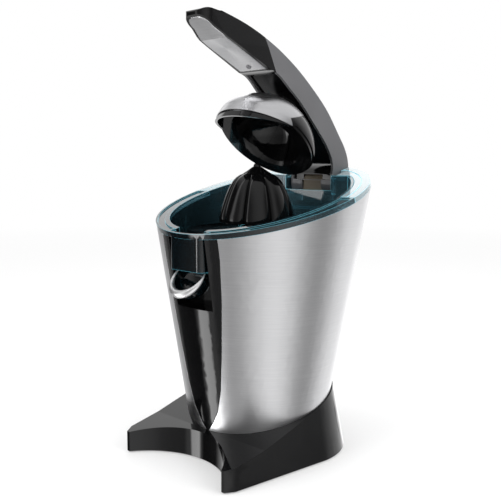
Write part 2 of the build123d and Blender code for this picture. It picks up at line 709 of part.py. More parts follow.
def box_screw_places():
    for angle in BOX_SCREW_ANGLES:
        yield BOX_X + BOX_SCREW_R_AT * cos(radians(angle)), BOX_SCREW_R_AT * sin(radians(angle))


def gearbox_housing():
    walls = tube(BOX_R, BOX_R - BOX_WALL, BOX_FLOOR_Z, BOX_TOP_Z, BOX_X)
    walls += rod(BOX_R, BOX_FLOOR_Z, BOX_FLOOR_Z + BOX_FLOOR_T, BOX_X)
    walls += rod(BOSS_OUT_R, BOX_FLOOR_Z, BUSH_LOW_TOP, 0, CONE_Y)
    walls -= rod(BUSH_R, 0, FAR, 0, CONE_Y)
    walls -= rod(AXLE_R, 0, FAR, IDLER_X, IDLER_Y)
    walls -= rod(MOTOR_NOSE_R + GAP, 0, FAR, MOTOR_X, MOTOR_Y)
    for side in (-1, 1):
        walls -= rod(SCREW_HEAD_R + GAP, 0, FAR, MOTOR_X + side * MOTOR_SCREW_AT_R, MOTOR_Y)
    for x, y in box_screw_places():
        walls += rod(BOX_PAD_R, BOX_FLOOR_Z, BOX_TOP_Z, x, y)
        walls -= rod(SCREW_R, BOX_TOP_Z - SCREW_GRIP, FAR, x, y)
    return walls


def gearbox_cover():
    lid = rod(BOX_R, BOX_TOP_Z, BOX_TOP_Z + BOX_LID_T, BOX_X)
    lid += rod(BOSS_OUT_R, BOX_TOP_Z, BUSH_HIGH_TOP, 0, CONE_Y)
    lid -= rod(BUSH_R, 0, FAR, 0, CONE_Y)
    for x, y in LID_POSTS:
        lid += rod(POST_R, BOX_TOP_Z, WELL_FLOOR_Z, x, y)
    for x, y in box_screw_places():
        lid -= rod(SCREW_R + GAP, 0, FAR, x, y)
    return lid


def gearbox_screws():
    top = BOX_TOP_Z + BOX_LID_T
    group = []
    for x, y in box_screw_places():
        screw = rod(SCREW_R, BOX_TOP_Z - SCREW_GRIP + GAP, top, x, y)
        group.append(screw + rod(SCREW_HEAD_R, top, top + SCREW_HEAD_H, x, y))
    return group


def lower_bush():
    return tube(BUSH_R, JOURNAL_R + RUN, BOX_FLOOR_Z, BUSH_LOW_TOP, 0, CONE_Y)


def upper_bush():
    return tube(BUSH_R, JOURNAL_R + RUN, BOX_TOP_Z, BUSH_HIGH_TOP, 0, CONE_Y)


def motor_can():
    can = rod(MOTOR_R, MOTOR_BOTTOM_Z + MOTOR_BELL_H, DECK_Z, MOTOR_X, MOTOR_Y)
    can += rod(MOTOR_NOSE_R, DECK_Z, BOX_FLOOR_Z, MOTOR_X, MOTOR_Y)
    for side in (-1, 1):
        can -= rod(SCREW_R, DECK_Z - SCREW_GRIP, FAR, MOTOR_X + side * MOTOR_SCREW_AT_R, MOTOR_Y)
    return can - rod(MOTOR_SHAFT_R + RUN, 0, FAR, MOTOR_X, MOTOR_Y)


def motor_bell():
    bell = rod(MOTOR_R - GAP, MOTOR_BOTTOM_Z, MOTOR_BOTTOM_Z + MOTOR_BELL_H, MOTOR_X, MOTOR_Y)
    return bell - rod(MOTOR_SHAFT_R + RUN, MOTOR_BOTTOM_Z + MOTOR_BELL_H / 3, FAR, MOTOR_X, MOTOR_Y)


def motor_screws():
    group = []
    for side in (-1, 1):
        x = MOTOR_X + side * MOTOR_SCREW_AT_R
        screw = rod(SCREW_R, DECK_Z - SCREW_GRIP + GAP, BOX_FLOOR_Z, x, MOTOR_Y)
        group.append(screw + rod(SCREW_HEAD_R, BOX_FLOOR_Z, BOX_FLOOR_Z + SCREW_HEAD_H, x, MOTOR_Y))
    return group


# Spout
def scoop(grow):
    outline = [(LIP_R * share + grow, -SPOUT_DEPTH * depth - grow) for share, depth in SPOUT_PROFILE_SHARES]
    return turned(outline, LIP_SEAT)


def spout():
    mouth = LIP_SEAT * Pos(0, 0, -SPOUT_T) * Cylinder(LIP_R - SPOUT_T, FAR, align=MIN_Z)
    body = scoop(0) - scoop(-SPOUT_T) - mouth
    body &= block(-FAR, FAR, -FAR, FAR, 0, SPOUT_TOP_Z)
    body += cross_rod(SPOUT_LUG_R, -SPOUT_LUG_X, SPOUT_LUG_X, SPOUT_PIN_Y, SPOUT_PIN_Z) - scoop(-SPOUT_T)
    return body - cross_rod(SPOUT_PIN_R + RUN, -FAR, FAR, SPOUT_PIN_Y, SPOUT_PIN_Z)


def spout_lip():
    ring = LIP_SEAT * Torus(LIP_R, LIP_TRIM_R)
    ring &= block(-FAR, FAR, -FAR, FAR, 0, SPOUT_TOP_Z)
    return ring - scoop(0)


def spout_pin():
    reach = RECESS_X + RECESS_WALL
    return cross_rod(SPOUT_PIN_R, -reach, reach, SPOUT_PIN_Y, SPOUT_PIN_Z)


# Hinge
def hinge_block():
    base = block(-BLOCK_BASE_X, BLOCK_BASE_X, TRAY_BACK_Y + WELL_GAP + WELL_T, SLOT_BACK_Y - GAP, POCKET_Z,
                 POCKET_Z + BLOCK_BASE_T)
    base += block(-BLOCK_X, BLOCK_X, PIN_Y - BLOCK_R, PIN_Y + BLOCK_R, POCKET_Z, PIN_Z)
    base += cross_rod(BLOCK_R, -BLOCK_X, BLOCK_X, PIN_Y, PIN_Z)
    base -= cross_rod(PIN_R, -FAR, FAR, PIN_Y, PIN_Z)
    for x, y in hinge_screw_places():
        base -= rod(SCREW_R + GAP, 0, FAR, x, y)
    return base


def hinge_screw_places():
    for x in (-BLOCK_BASE_X + BOSS_R, BLOCK_BASE_X - BOSS_R):
        for y in (PIN_Y - BLOCK_R + SCREW_HEAD_R, PIN_Y + BLOCK_R - SCREW_HEAD_R):
            yield x, y


def hinge_screws():
    top = POCKET_Z + BLOCK_BASE_T
    return [rod(SCREW_R, POCKET_Z, top, x, y) + rod(SCREW_HEAD_R, top, top + SCREW_HEAD_H, x, y)
            for x, y in hinge_screw_places()]


def hinge_pin():
    return cross_rod(PIN_R, -PIN_X, PIN_X, PIN_Y, PIN_Z)


# Arm
def shifted(points, distance):
    """The points of a line moved to its left by a distance."""
    moved = []
    for i, (y, z) in enumerate(points):
        y0, z0 = points[max(i - 1, 0)]
        y1, z1 = points[min(i + 1, len(points) - 1)]
        span = ((y1 - y0) ** 2 + (z1 - z0) ** 2) ** 0.5
        moved.append((y - (z1 - z0) / span * distance, z + (y1 - y0) / span * distance))
    return moved


def arm_outline():
    outer = Spline(*ARM_OUTER)
    nose = Spline(ARM_OUTER[-1], *ARM_NOSE)
    grip = Polyline(ARM_NOSE[-1], GRIP_TIP, ARM_BEND, GRIP_START)
    inner = Spline(GRIP_START, *ARM_INNER)
    foot = Polyline(ARM_INNER[-1], (PIN_Y - LUG_R, PIN_Z), (PIN_Y + LUG_R, PIN_Z), ARM_OUTER[0])
    return make_face(Plane.YZ * (outer + nose + grip + inner + foot))


def inside_outline(recess_depth):
    """The arm's outline inside its back wall, as far as a depth behind its open side."""
    outer = shifted(ARM_OUTER, ARM_WALL)
    inner = shifted(ARM_INNER, recess_depth)
    front = Polyline(outer[-1], (outer[-1][0], inner[0][1]), inner[0])
    foot = Polyline(inner[-1], (PIN_Y + ARM_WALL - LUG_R, PIN_Z), (PIN_Y + LUG_R - ARM_WALL, PIN_Z), outer[0])
    return make_face(Plane.YZ * (Spline(*outer) + front + Spline(*inner) + foot))


def arm_front(inset):
    right = [(ARM_X - inset, 0), (ARM_X - inset, ARM_WIDE_Z), (ARM_TOP_X - inset, ARM_TOP_Z),
             (ARM_TIP_X - inset, ARM_TIP_Z), (ARM_TIP_X - inset, FAR + FAR + FAR)]
    return front_prism(right + [(-x, z) for x, z in reversed(right)], FAR, -FAR)


def arm_plan(inset, back_y):
    """The arm seen from above: its front corners are round."""
    half = ARM_TOP_X - inset
    front = inset - ARM_REACH
    width = FAR if back_y > 0 else half + half
    middle = Pos(0, (front + back_y) / 2, 0) * Rectangle(width, back_y - front)
    tip = ARM_TIP_X - inset
    nose = Pos(0, (front + ARM_BEND[0]) / 2, 0) * Rectangle(tip + tip, ARM_BEND[0] - front)
    nose = fillet(nose.vertices().sort_by(Axis.Y)[:2], ARM_CORNER_R - inset)
    middle -= Pos(0, ARM_BEND[0] - FAR / 2, 0) * Rectangle(FAR, FAR)
    halfway = (front + ARM_BEND[0]) / 2
    sides = [(-tip, halfway), (tip, halfway), (half, ARM_BEND[0]), (-half, ARM_BEND[0])]
    wedge = make_face(Polyline(*sides, close=True))
    return extrude(middle + nose + wedge, FAR + FAR)


def arm_whole():
    body = extrude(arm_outline(), FAR, both=True) & arm_front(0) & arm_plan(0, FAR)
    return body + cross_rod(LUG_R, -ARM_X, ARM_X, PIN_Y, PIN_Z)


def arm_inside(recess_depth):
    body = extrude(inside_outline(recess_depth), FAR, both=True) & arm_front(ARM_WALL)
    body += cross_rod(LUG_R - ARM_WALL, ARM_WALL - ARM_X, ARM_X - ARM_WALL, PIN_Y, PIN_Z)
    return body - handle_side()


def handle_side():
    low = HANDLE_CUT[1]
    high = HANDLE_CUT[0]
    run = (high[0] - low[0]) / (high[1] - low[1])
    line = [(low[0] + run * (z - low[1]), z) for z in (0, FAR + FAR)]
    return side_prism(line + [(-FAR - FAR, FAR + FAR), (-FAR - FAR, 0)], FAR)


def dome_room():
    grown = [(r + ARM_CLEAR, h) for r, h in DOME_PROFILE]
    return turned(grown + [(TIP_SHARE * DOME_PROFILE[-1][0], DOME_PROFILE[-1][1] + ARM_CLEAR)], DOME_SEAT)


def hinge_room():
    gap = block(-LUG_IN_X, LUG_IN_X, PIN_Y - FAR, PIN_Y + FAR, 0, PIN_Z)
    return gap + cross_rod(LUG_R + GAP, -LUG_IN_X, LUG_IN_X, PIN_Y, PIN_Z)


def arm_shell():
    shell = arm_whole() - handle_side() - arm_inside(-OVER) - dome_room() - hinge_room()
    return shell - cross_rod(PIN_R + RUN, -FAR, FAR, PIN_Y, PIN_Z)


def arm_core():
    core = arm_inside(ARM_WALL) - dome_room() - hinge_room() - dome_mount() - dome_screw()
    return core - cross_rod(PIN_R + RUN, -FAR, FAR, PIN_Y, PIN_Z)


def grip_plate():
    run = [GRIP_START, ARM_BEND, GRIP_TIP]
    below = [(y, z - GRIP_PROUD) for y, z in run]
    above = [(y, z - GRIP_PROUD + GRIP_T) for y, z in reversed(run)]
    plate = side_prism(below + above, FAR) & arm_front(GRIP_MARGIN)
    return plate & arm_plan(GRIP_MARGIN, GRIP_START[0] - GRIP_MARGIN) - grip_screw()


def grip_screw_place():
    y = GRIP_START[0] + (ARM_BEND[0] - GRIP_START[0]) * GRIP_SCREW_AT_SHARE
    z = GRIP_START[1] + (ARM_BEND[1] - GRIP_START[1]) * GRIP_SCREW_AT_SHARE
    lean = degrees(atan2(ARM_BEND[1] - GRIP_START[1], GRIP_START[0] - ARM_BEND[0]))
    return Pos(0, y, z - GRIP_PROUD) * Rot(180 - lean, 0, 0)


def grip_screw():
    head = Cylinder(GRIP_SCREW_R, GRIP_SCREW_H, align=MIN_Z)
    socket = Pos(0, 0, GRIP_SCREW_H / 2) * Cylinder(GRIP_SCREW_R / 2, FAR, align=MIN_Z)
    return grip_screw_place() * (head - socket)


def handle():
    body = arm_whole() & handle_side()
    return body - grip_plate() - grip_screw()


# Dome
def dome_solid():
    return turned(DOME_PROFILE, DOME_SEAT)


def skirt(outer, inner, droop):
    """The rim hangs lower at the front, from the cover's corners on."""
    fall = droop * FAR / (DOME_PROFILE[0][0] + COVER_EDGE)
    wedge = side_prism([(COVER_EDGE, 0), (COVER_EDGE - FAR, 0), (COVER_EDGE - FAR, -fall)], FAR)
    return DOME_SEAT * (wedge & tube(outer, inner, -FAR, 0))


def dome_cover():
    hood = dome_solid() - shrunk_dome(COVER_T)
    edge = [(COVER_EDGE, 0), (COVER_EDGE_TOP, DOME_PROFILE[-1][1]), (COVER_EDGE_TOP, FAR), (FAR, FAR)]
    edge += [(FAR, -FAR), (COVER_EDGE, -FAR)]
    hood -= DOME_SEAT * side_prism(edge, FAR)
    hood += skirt(DOME_PROFILE[0][0], DOME_PROFILE[0][0] - COVER_T, COVER_DROOP)
    return hood - DOME_SEAT * Cylinder(MOUNT_R, FAR)


def shrunk_dome(inset):
    inner = [(r - inset, h) for r, h in DOME_PROFILE[:-1]]
    inner.append((DOME_PROFILE[-1][0], DOME_PROFILE[-1][1] - inset))
    return turned(inner, DOME_SEAT)


def dome_hood():
    hood = dome_solid() - dome_cover() - shrunk_dome(COVER_T + HOOD_T)
    hood -= DOME_SEAT * Cylinder(FAR, CUP_PLATE_T + CUP_PLATE_T)
    hood -= DOME_SEAT * rod(MOUNT_R, DOME_PROFILE[-1][1] - COVER_T - COVER_T, FAR)
    return hood - dome_screw()


def press_cup():
    plate = shrunk_dome(COVER_T) & DOME_SEAT * Cylinder(FAR, CUP_PLATE_T + CUP_PLATE_T)
    plate += skirt(DOME_PROFILE[0][0] - COVER_T, DOME_PROFILE[0][0] - SKIRT_T, SKIRT_DROOP)
    outer = [(r + CUP_WALL, h) for r, h in CUP_PROFILE]
    outer[-1] = (CUP_PROFILE[-1][0] + CUP_WALL, CUP_PROFILE[-1][1] + CUP_WALL)
    post_top = DOME_PROFILE[-1][1] - COVER_T - HOOD_T
    cup = plate + turned(outer, DOME_SEAT) + DOME_SEAT * rod(MOUNT_R / 2, CUP_PROFILE[-1][1], post_top)
    cup -= turned(CUP_PROFILE, DOME_SEAT)
    ribs = [DOME_SEAT * fin for fin in fins(CUP_PROFILE[0][0] + CUP_RIB_H, CUP_RIB_T, 0, FAR, CUP_RIBS)]
    shrunk = [(r - CUP_RIB_H, h) for r, h in CUP_PROFILE[:-1]]
    shrunk.append((CUP_PROFILE[-1][0] / 2, CUP_PROFILE[-1][1] - CUP_RIB_H))
    lining = turned(CUP_PROFILE, DOME_SEAT) - turned(shrunk, DOME_SEAT)
    lining -= DOME_SEAT * Cylinder(CUP_RIB_END_R, FAR)
    for rib in ribs:
        cup += lining & rib
    return cup - dome_screw()


def dome_mount():
    low = DOME_PROFILE[-1][1] - COVER_T - COVER_T
    return DOME_SEAT * (rod(MOUNT_R, low, low + MOUNT_H)) - dome_screw()


def dome_screw():
    low = CUP_PROFILE[-1][1]
    high = DOME_PROFILE[-1][1] + MOUNT_H / 2
    return DOME_SEAT * (rod(DOME_SCREW_R / 2, low, high) + rod(DOME_SCREW_R, low, low + SCREW_HEAD_H))


PARTS = {
    "base_shell": base_shell, "base_plate": base_plate, "base_screws": base_screws,
    "rubber_feet": rubber_feet, "cord_gland": cord_gland, "steel_wrap": steel_wrap,
    "front_panel": front_panel, "top_deck": top_deck,
    "rear_cap": rear_cap, "juice_tray": juice_tray, "strainer": strainer, "reaming_cone": reaming_cone,
    "cone_nub": cone_nub, "output_gear": output_gear, "drive_clip": drive_clip, "idler_gear": idler_gear,
    "motor_shaft": motor_shaft, "idler_axle": idler_axle, "drive_spindle": drive_spindle,
    "return_spring": return_spring, "shaft_seal": shaft_seal, "microswitch": microswitch,
    "switch_plunger": switch_plunger, "chassis": chassis, "gearbox_housing": gearbox_housing,
    "gearbox_cover": gearbox_cover, "gearbox_screws": gearbox_screws, "lower_bush": lower_bush,
    "upper_bush": upper_bush, "motor_can": motor_can, "motor_bell": motor_bell, "motor_screws": motor_screws,
    "spout": spout, "spout_lip": spout_lip, "spout_pin": spout_pin, "hinge_block": hinge_block,
    "hinge_screws": hinge_screws, "hinge_pin": hinge_pin, "arm_shell": arm_shell, "arm_core": arm_core,
    "grip_plate": grip_plate, "grip_screw": grip_screw, "handle": handle, "dome_cover": dome_cover,
    "press_cup": press_cup, "dome_hood": dome_hood, "dome_mount": dome_mount, "dome_screw": dome_screw,
}


def main():
    os.makedirs("parts", exist_ok=True)
    for name, make in PARTS.items():
        made = make()
        solids = made if isinstance(made, list) else [made]
        placed = [Pos(0, -ORIGIN_Y, 0) * piece for one in solids for piece in one.solids()]
        node = placed[0] if len(placed) == 1 else Compound(children=placed)
        export_step(node, "parts/" + name + ".step")


main()
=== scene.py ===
# %% [markdown]
# # An electric citrus press in Blender
#
# The real object is a slanted steel drum on a black forked base. A lever arm with a domed cup presses half
# a fruit on a ribbed cone. The juice runs through a smoked tray and a tilting spout into a glass.
#
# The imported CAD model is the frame: it gives every size and place. This lesson dresses it. Moulded and
# pressed parts whose CAD shape is right get soft edges, the pieces with richer shapes are modelled afresh
# with the edit-mode tools, and every finish is a small node graph.

# %% Load the frame
import json
import math

import bpy
from mathutils import Matrix, Vector

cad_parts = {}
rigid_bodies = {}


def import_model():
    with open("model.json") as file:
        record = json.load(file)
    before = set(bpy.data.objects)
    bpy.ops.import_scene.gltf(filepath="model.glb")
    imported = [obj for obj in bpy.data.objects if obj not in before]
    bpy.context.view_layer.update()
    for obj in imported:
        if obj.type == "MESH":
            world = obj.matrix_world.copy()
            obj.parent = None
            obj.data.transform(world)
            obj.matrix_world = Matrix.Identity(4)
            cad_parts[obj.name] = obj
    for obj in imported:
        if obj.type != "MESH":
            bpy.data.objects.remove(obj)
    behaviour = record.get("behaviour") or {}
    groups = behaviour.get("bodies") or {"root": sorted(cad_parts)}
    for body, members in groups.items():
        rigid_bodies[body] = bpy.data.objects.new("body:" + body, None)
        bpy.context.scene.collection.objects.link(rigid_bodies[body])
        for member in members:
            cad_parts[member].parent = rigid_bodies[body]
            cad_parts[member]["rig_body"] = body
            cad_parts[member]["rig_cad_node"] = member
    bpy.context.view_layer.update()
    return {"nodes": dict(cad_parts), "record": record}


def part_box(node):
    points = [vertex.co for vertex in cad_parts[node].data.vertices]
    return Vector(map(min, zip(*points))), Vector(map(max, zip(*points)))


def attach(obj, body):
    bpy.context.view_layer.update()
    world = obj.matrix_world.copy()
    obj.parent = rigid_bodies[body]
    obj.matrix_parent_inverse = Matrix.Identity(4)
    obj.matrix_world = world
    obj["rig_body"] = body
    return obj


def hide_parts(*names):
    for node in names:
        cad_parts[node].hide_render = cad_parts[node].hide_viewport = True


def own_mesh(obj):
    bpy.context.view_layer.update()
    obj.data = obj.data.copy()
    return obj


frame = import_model()
nodes = frame["nodes"]
SLOT_OF = {part["node"]: part["material_slot"] for part in frame["record"]["subparts"]}
BODY_OF = {name: body for body, names in frame["record"]["behaviour"]["bodies"].items() for name in names}

# %% [markdown]
# ## Units and colours
#
# Blender works in metres, while a drawing of this machine is in millimetres. So sizes are written in
# millimetres and multiplied once. Colours are written as the hex values that an eyedropper shows, and one
# function turns them to the linear numbers that shaders use: the sRGB curve is a straight toe, then a
# power.

# %% Units and colours
MM = 0.001
TOE_END, TOE_SLOPE, CURVE_SHIFT, CURVE_POWER = 0.04045, 12.92, 0.055, 2.4


def linear(hex_colour):
    def straight(c):
        return c / TOE_SLOPE if c <= TOE_END else ((c + CURVE_SHIFT) / (1 + CURVE_SHIFT)) ** CURVE_POWER
    return [straight(int(hex_colour[i:i + 2], 16) / 255) for i in (1, 3, 5)] + [1.0]


print("mid grey #808080 is linear", round(linear("#808080")[0], 3))


# %% [markdown]
# ## One function for nodes
#
# Every finish is a graph around one Principled shader. One function adds a node: plain settings are given
# by name, and each input takes either a value or another node's output, which it links. A Mix node keeps
# the sockets of all its kinds in one row, so the places of its colour sockets get names.

# %% The node helper
MIX_FACTOR, MIX_FIRST, MIX_SECOND, MIXED = 0, 6, 7, 2


def add(tree, kind, inputs=None, **settings):
    made = tree.nodes.new(kind)
    for name, value in settings.items():
        setattr(made, name, value)
    for key, value in (inputs or {}).items():
        if isinstance(value, bpy.types.NodeSocket):
            tree.links.new(value, made.inputs[key])
        else:
            made.inputs[key].default_value = value
    return made


def new_graph(name):
    material = bpy.data.materials.new(name)
    material.use_nodes = True
    material.node_tree.nodes.clear()
    return material, material.node_tree


# %% [markdown]
# ## Metals
#
# The drum is stainless sheet, rolled up and brushed around with a belt, which leaves fine level lines. Real
# grit lines are about 0.1 mm apart; here they are 0.8 mm, because finer ones vanish in the render. Noise
# that is squeezed along Z makes each blob a long level streak, and it drives colour, roughness and height
# together. The anisotropy smears reflections up and down, across the lines, which gives the soft upright
# bands that tell the eye "brushed steel". Turned, plated and sintered metals use the same recipe with other
# numbers.

# %% Metal recipe
METAL_BUMP = 0.5
WEAR, WEAR_PER_METRE = 0.08, 18.0
ACROSS = 0.25


def metal(name, dark, light, rough, line_mm, run_mm, depth_mm, smear=0.0):
    """Streaks of line_mm by run_mm between two tones. rough is (lowest, highest), smear the anisotropy."""
    material, tree = new_graph(name)
    place = add(tree, "ShaderNodeTexCoord").outputs["Object"]
    stretch = (1 / (run_mm * MM), 1 / (run_mm * MM), 1 / (line_mm * MM))
    lines = add(tree, "ShaderNodeMapping", {"Vector": place, "Scale": stretch}).outputs["Vector"]
    grain = add(tree, "ShaderNodeTexNoise", {"Vector": lines, "Scale": 1.0, "Detail": 3.0}).outputs["Fac"]
    clouds = add(tree, "ShaderNodeTexNoise", {"Vector": place, "Scale": WEAR_PER_METRE, "Detail": 1.0})
    tones = {MIX_FACTOR: grain, MIX_FIRST: linear(dark), MIX_SECOND: linear(light)}
    colour = add(tree, "ShaderNodeMix", tones, data_type="RGBA")
    sheen = add(tree, "ShaderNodeMapRange", {"Value": grain, "To Min": rough[0], "To Max": rough[1]})
    worn = add(tree, "ShaderNodeMath", {0: clouds.outputs["Fac"], 1: WEAR, 2: sheen.outputs["Result"]},
               operation="MULTIPLY_ADD")
    bump = add(tree, "ShaderNodeBump", {"Height": grain, "Distance": depth_mm * MM, "Strength": METAL_BUMP})
    inputs = {"Base Color": colour.outputs[MIXED], "Roughness": worn.outputs[0], "Normal": bump.outputs[0]}
    inputs.update({"Metallic": 1.0, "Anisotropic": smear, "Anisotropic Rotation": ACROSS})
    if smear:
        around = add(tree, "ShaderNodeTangent", direction_type="RADIAL", axis="Z")
        inputs["Tangent"] = around.outputs[0]
    shader = add(tree, "ShaderNodeBsdfPrincipled", inputs)
    add(tree, "ShaderNodeOutputMaterial", {"Surface": shader.outputs[0]})
    return material


# %% [markdown]
# ## Moulded plastics, rubber and paint
#
# The base, handle, cone and cup are ABS from polished moulds: near black and mirror-like, with a long faint
# wave where the plastic shrank as it cooled. Inner parts come from etched moulds, whose fine pits scatter
# light. Both are one recipe: the wave shifts the colour, and the grain gives the roughness and the height.

# %% Plastic recipe
PLASTIC_BUMP = 0.4
SHEEN_SPREAD = 0.2
COAT_ROUGH = 0.03


def moulded(name, dark, light, rough, grain_mm, depth_mm, wave_mm=40, coat=0.0, ior=1.5, shine=0.5):
    """A wave between two tones under a grain. coat is a clear lacquer, shine the strength of the mirror."""
    material, tree = new_graph(name)
    place = add(tree, "ShaderNodeTexCoord").outputs["Object"]
    grain = add(tree, "ShaderNodeTexNoise", {"Vector": place, "Scale": 1 / (grain_mm * MM), "Detail": 2.0})
    wave = add(tree, "ShaderNodeTexNoise", {"Vector": place, "Scale": 1 / (wave_mm * MM), "Detail": 1.0})
    tones = {MIX_FACTOR: wave.outputs[0], MIX_FIRST: linear(dark), MIX_SECOND: linear(light)}
    colour = add(tree, "ShaderNodeMix", tones, data_type="RGBA")
    low, high = rough * (1 - SHEEN_SPREAD), rough * (1 + SHEEN_SPREAD)
    sheen = add(tree, "ShaderNodeMapRange", {"Value": grain.outputs[0], "To Min": low, "To Max": high})
    pits = {"Height": grain.outputs[0], "Distance": depth_mm * MM, "Strength": PLASTIC_BUMP}
    bump = add(tree, "ShaderNodeBump", pits)
    inputs = {"Base Color": colour.outputs[MIXED], "Roughness": sheen.outputs[0], "Normal": bump.outputs[0]}
    inputs.update({"Coat Weight": coat, "Coat Roughness": COAT_ROUGH})
    inputs.update({"IOR": ior, "Specular IOR Level": shine})
    shader = add(tree, "ShaderNodeBsdfPrincipled", inputs)
    add(tree, "ShaderNodeOutputMaterial", {"Surface": shader.outputs[0]})
    return material


# %% [markdown]
# ## Smoked clear plastic
#
# The juice tray is tinted SAN, a clear stiff plastic. Its faces look like dark glass while the thin edges
# glow cyan. Transmission gives the glass. The cyan is painted, in two parts, standing in for light that
# enters through the top and travels inside the wall. At a grazing angle the colour is mixed towards a
# lighter tint, a painted highlight. The rounded edges, which are marked when they are bevelled, get a
# painted glow by emission. The front lies over the black panel and looks deeper than the rear, and the tint
# pales towards the rear as a painted reflection of the pale room.

# %% Smoked plastic recipe
SAN_IOR = 1.57
# Painted reflection: the tint pales between these two places, from the front to the rear.
PAINTED_REFLECTION_FRONT_Y, PAINTED_REFLECTION_REAR_Y = -70, 80
# Painted highlight: from this facing on towards a grazing view, the tint is mixed towards the lighter edge
# colour.
GRAZING_BLEND, GRAZING_FROM = 0.2, 0.5
HAZE_ROUGH, HAZE_DEPTH_MM = (0.02, 0.06), 0.02


def smoked_clear(name, front, rear_painted_reflection, edge, glow, clear=0.85, haze_mm=15):
    """A tint from front to rear, a painted reflection. glow is the painted edge glow, clear the share of
    light let through.
    """
    material, tree = new_graph(name)
    place = add(tree, "ShaderNodeTexCoord").outputs["Object"]
    haze = add(tree, "ShaderNodeTexNoise", {"Vector": place, "Scale": 1 / (haze_mm * MM), "Detail": 1.0})
    # Painted highlight: the colour turns towards the lighter edge colour where the wall is seen at a
    # grazing angle.
    along = add(tree, "ShaderNodeLayerWeight", {"Blend": GRAZING_BLEND}).outputs["Facing"]
    painted_grazing_highlight = add(tree, "ShaderNodeMapRange", {"Value": along, "From Min": GRAZING_FROM, "From Max": 1.0})
    # Painted reflection: the colour pales from the dark front tint to the rear tint.
    back = add(tree, "ShaderNodeSeparateXYZ", {0: place}).outputs["Y"]
    painted_reflection_share = add(tree, "ShaderNodeMapRange",
                {"Value": back, "From Min": PAINTED_REFLECTION_FRONT_Y * MM, "From Max": PAINTED_REFLECTION_REAR_Y * MM})
    tints = {MIX_FACTOR: painted_reflection_share.outputs[0], MIX_FIRST: linear(front), MIX_SECOND: linear(rear_painted_reflection)}
    tint_with_painted_reflection = add(tree, "ShaderNodeMix", tints, data_type="RGBA")
    tints = {MIX_FACTOR: painted_grazing_highlight.outputs[0], MIX_FIRST: tint_with_painted_reflection.outputs[MIXED], MIX_SECOND: linear(edge)}
    colour = add(tree, "ShaderNodeMix", tints, data_type="RGBA")
    sheen = add(tree, "ShaderNodeMapRange",
                {"Value": haze.outputs[0], "To Min": HAZE_ROUGH[0], "To Max": HAZE_ROUGH[1]})
    bump = add(tree, "ShaderNodeBump",
               {"Height": haze.outputs[0], "Distance": HAZE_DEPTH_MM * MM, "Strength": PLASTIC_BUMP})
    # Painted glow: the bevelled edges glow by emission, standing in for light piped along the wall.
    rim = add(tree, "ShaderNodeAttribute", attribute_name="edge").outputs["Fac"]
    painted_edge_glow = add(tree, "ShaderNodeMath", {0: rim, 1: glow}, operation="MULTIPLY")
    inputs = {"Base Color": colour.outputs[MIXED], "Roughness": sheen.outputs[0], "Normal": bump.outputs[0]}
    inputs.update({"IOR": SAN_IOR, "Transmission Weight": clear, "Emission Color": linear(edge)})
    inputs["Emission Strength"] = painted_edge_glow.outputs[0]
    shader = add(tree, "ShaderNodeBsdfPrincipled", inputs)
    add(tree, "ShaderNodeOutputMaterial", {"Surface": shader.outputs[0]})
    return material


# %% [markdown]
# ## The list of finishes
#
# The record names a finish for each node. Each name gets its material here, and every CAD node takes its
# own, the hidden ones too, because the arm opens and the model can be looked at from anywhere.

# %% All finishes
FINISH = {
    # Polished mould: deep black that mirrors the room with only slightly soft edges.
    "gloss_black": moulded("abs_black_polished", "#060607", "#0b0b0c", 0.07, 6.0, 0.003, shine=0.4),
    # Smoked so dark that it lets no light through: a black with a breath of blue.
    "dark_gloss": moulded("san_dark_smoked", "#0a1013", "#12191c", 0.08, 6.0, 0.003, ior=1.57, shine=0.4),
    # Etched mould: its pits spread the light, so the black turns to a dull charcoal.
    "black_matte": moulded("abs_black_etched", "#111112", "#191a1a", 0.5, 0.9, 0.02),
    # Moulded rubber: no shine at all, and coarser pits.
    "rubber": moulded("rubber_black_moulded", "#131313", "#1c1b1a", 0.75, 1.6, 0.04),
    # Brushed around: level hairlines, and reflections drawn out into upright bands.
    "brushed": metal("stainless_sheet_brushed_round", "#cbcbcd", "#dededf", (0.27, 0.36), 0.8, 30, 0.03,
                     smear=0.5),
    # Pressed sheet with a fine satin: the same steel, with its lines too faint to read one by one.
    "polished": metal("stainless_sheet_satin", "#c9c9cb", "#dcdcde", (0.22, 0.28), 1.0, 30, 0.004),
    # Turned steel of shafts, pins and screws: darker, with a fine even grain.
    "steel": metal("steel_turned", "#8d8d90", "#a9a9ac", (0.25, 0.38), 1.0, 1.0, 0.01),
    # Plated trim: the brightest metal here, a little soft, so that it shows an even white.
    "chrome": metal("chrome_plate_bright", "#f4f4f5", "#fdfdfd", (0.34, 0.40), 8.0, 8.0, 0.002),
    # Plastic with metal flakes under a thin lacquer: a cool grey with a second, sharper shine.
    "silver_plastic": moulded("abs_silver_metallic", "#a3aeb3", "#b4bfc4", 0.3, 0.8, 0.01, coat=0.3),
    # Clear and tinted: dark blue glass in front, with a painted pale reflection towards the rear and a
    # painted cyan glow on the edges.
    "smoke_blue": smoked_clear("san_smoked_blue", "#0d1b21", "#5f8794", "#6fc3d6", 1.1, 0.75),
    # Satin paint on the arm: a flat mid grey with one broad highlight.
    "arm_grey": moulded("paint_grey_satin", "#59595b", "#646466", 0.35, 1.0, 0.006, coat=0.2),
    # Etched tan plastic of the hinge block: warm and dull.
    "tan": moulded("abs_tan_etched", "#6d6353", "#7d7261", 0.5, 0.9, 0.02),
    # Natural nylon of the gears: milky, with the low shine of wax.
    "nylon": moulded("nylon_natural_moulded", "#d8d4c6", "#e6e2d6", 0.42, 2.0, 0.01),
    # Sintered bronze of the bushes: a grainy brown gold, because it is pressed from powder.
    "brass": metal("bronze_sintered", "#a5814a", "#c09a5c", (0.35, 0.5), 1.0, 1.0, 0.01),
}
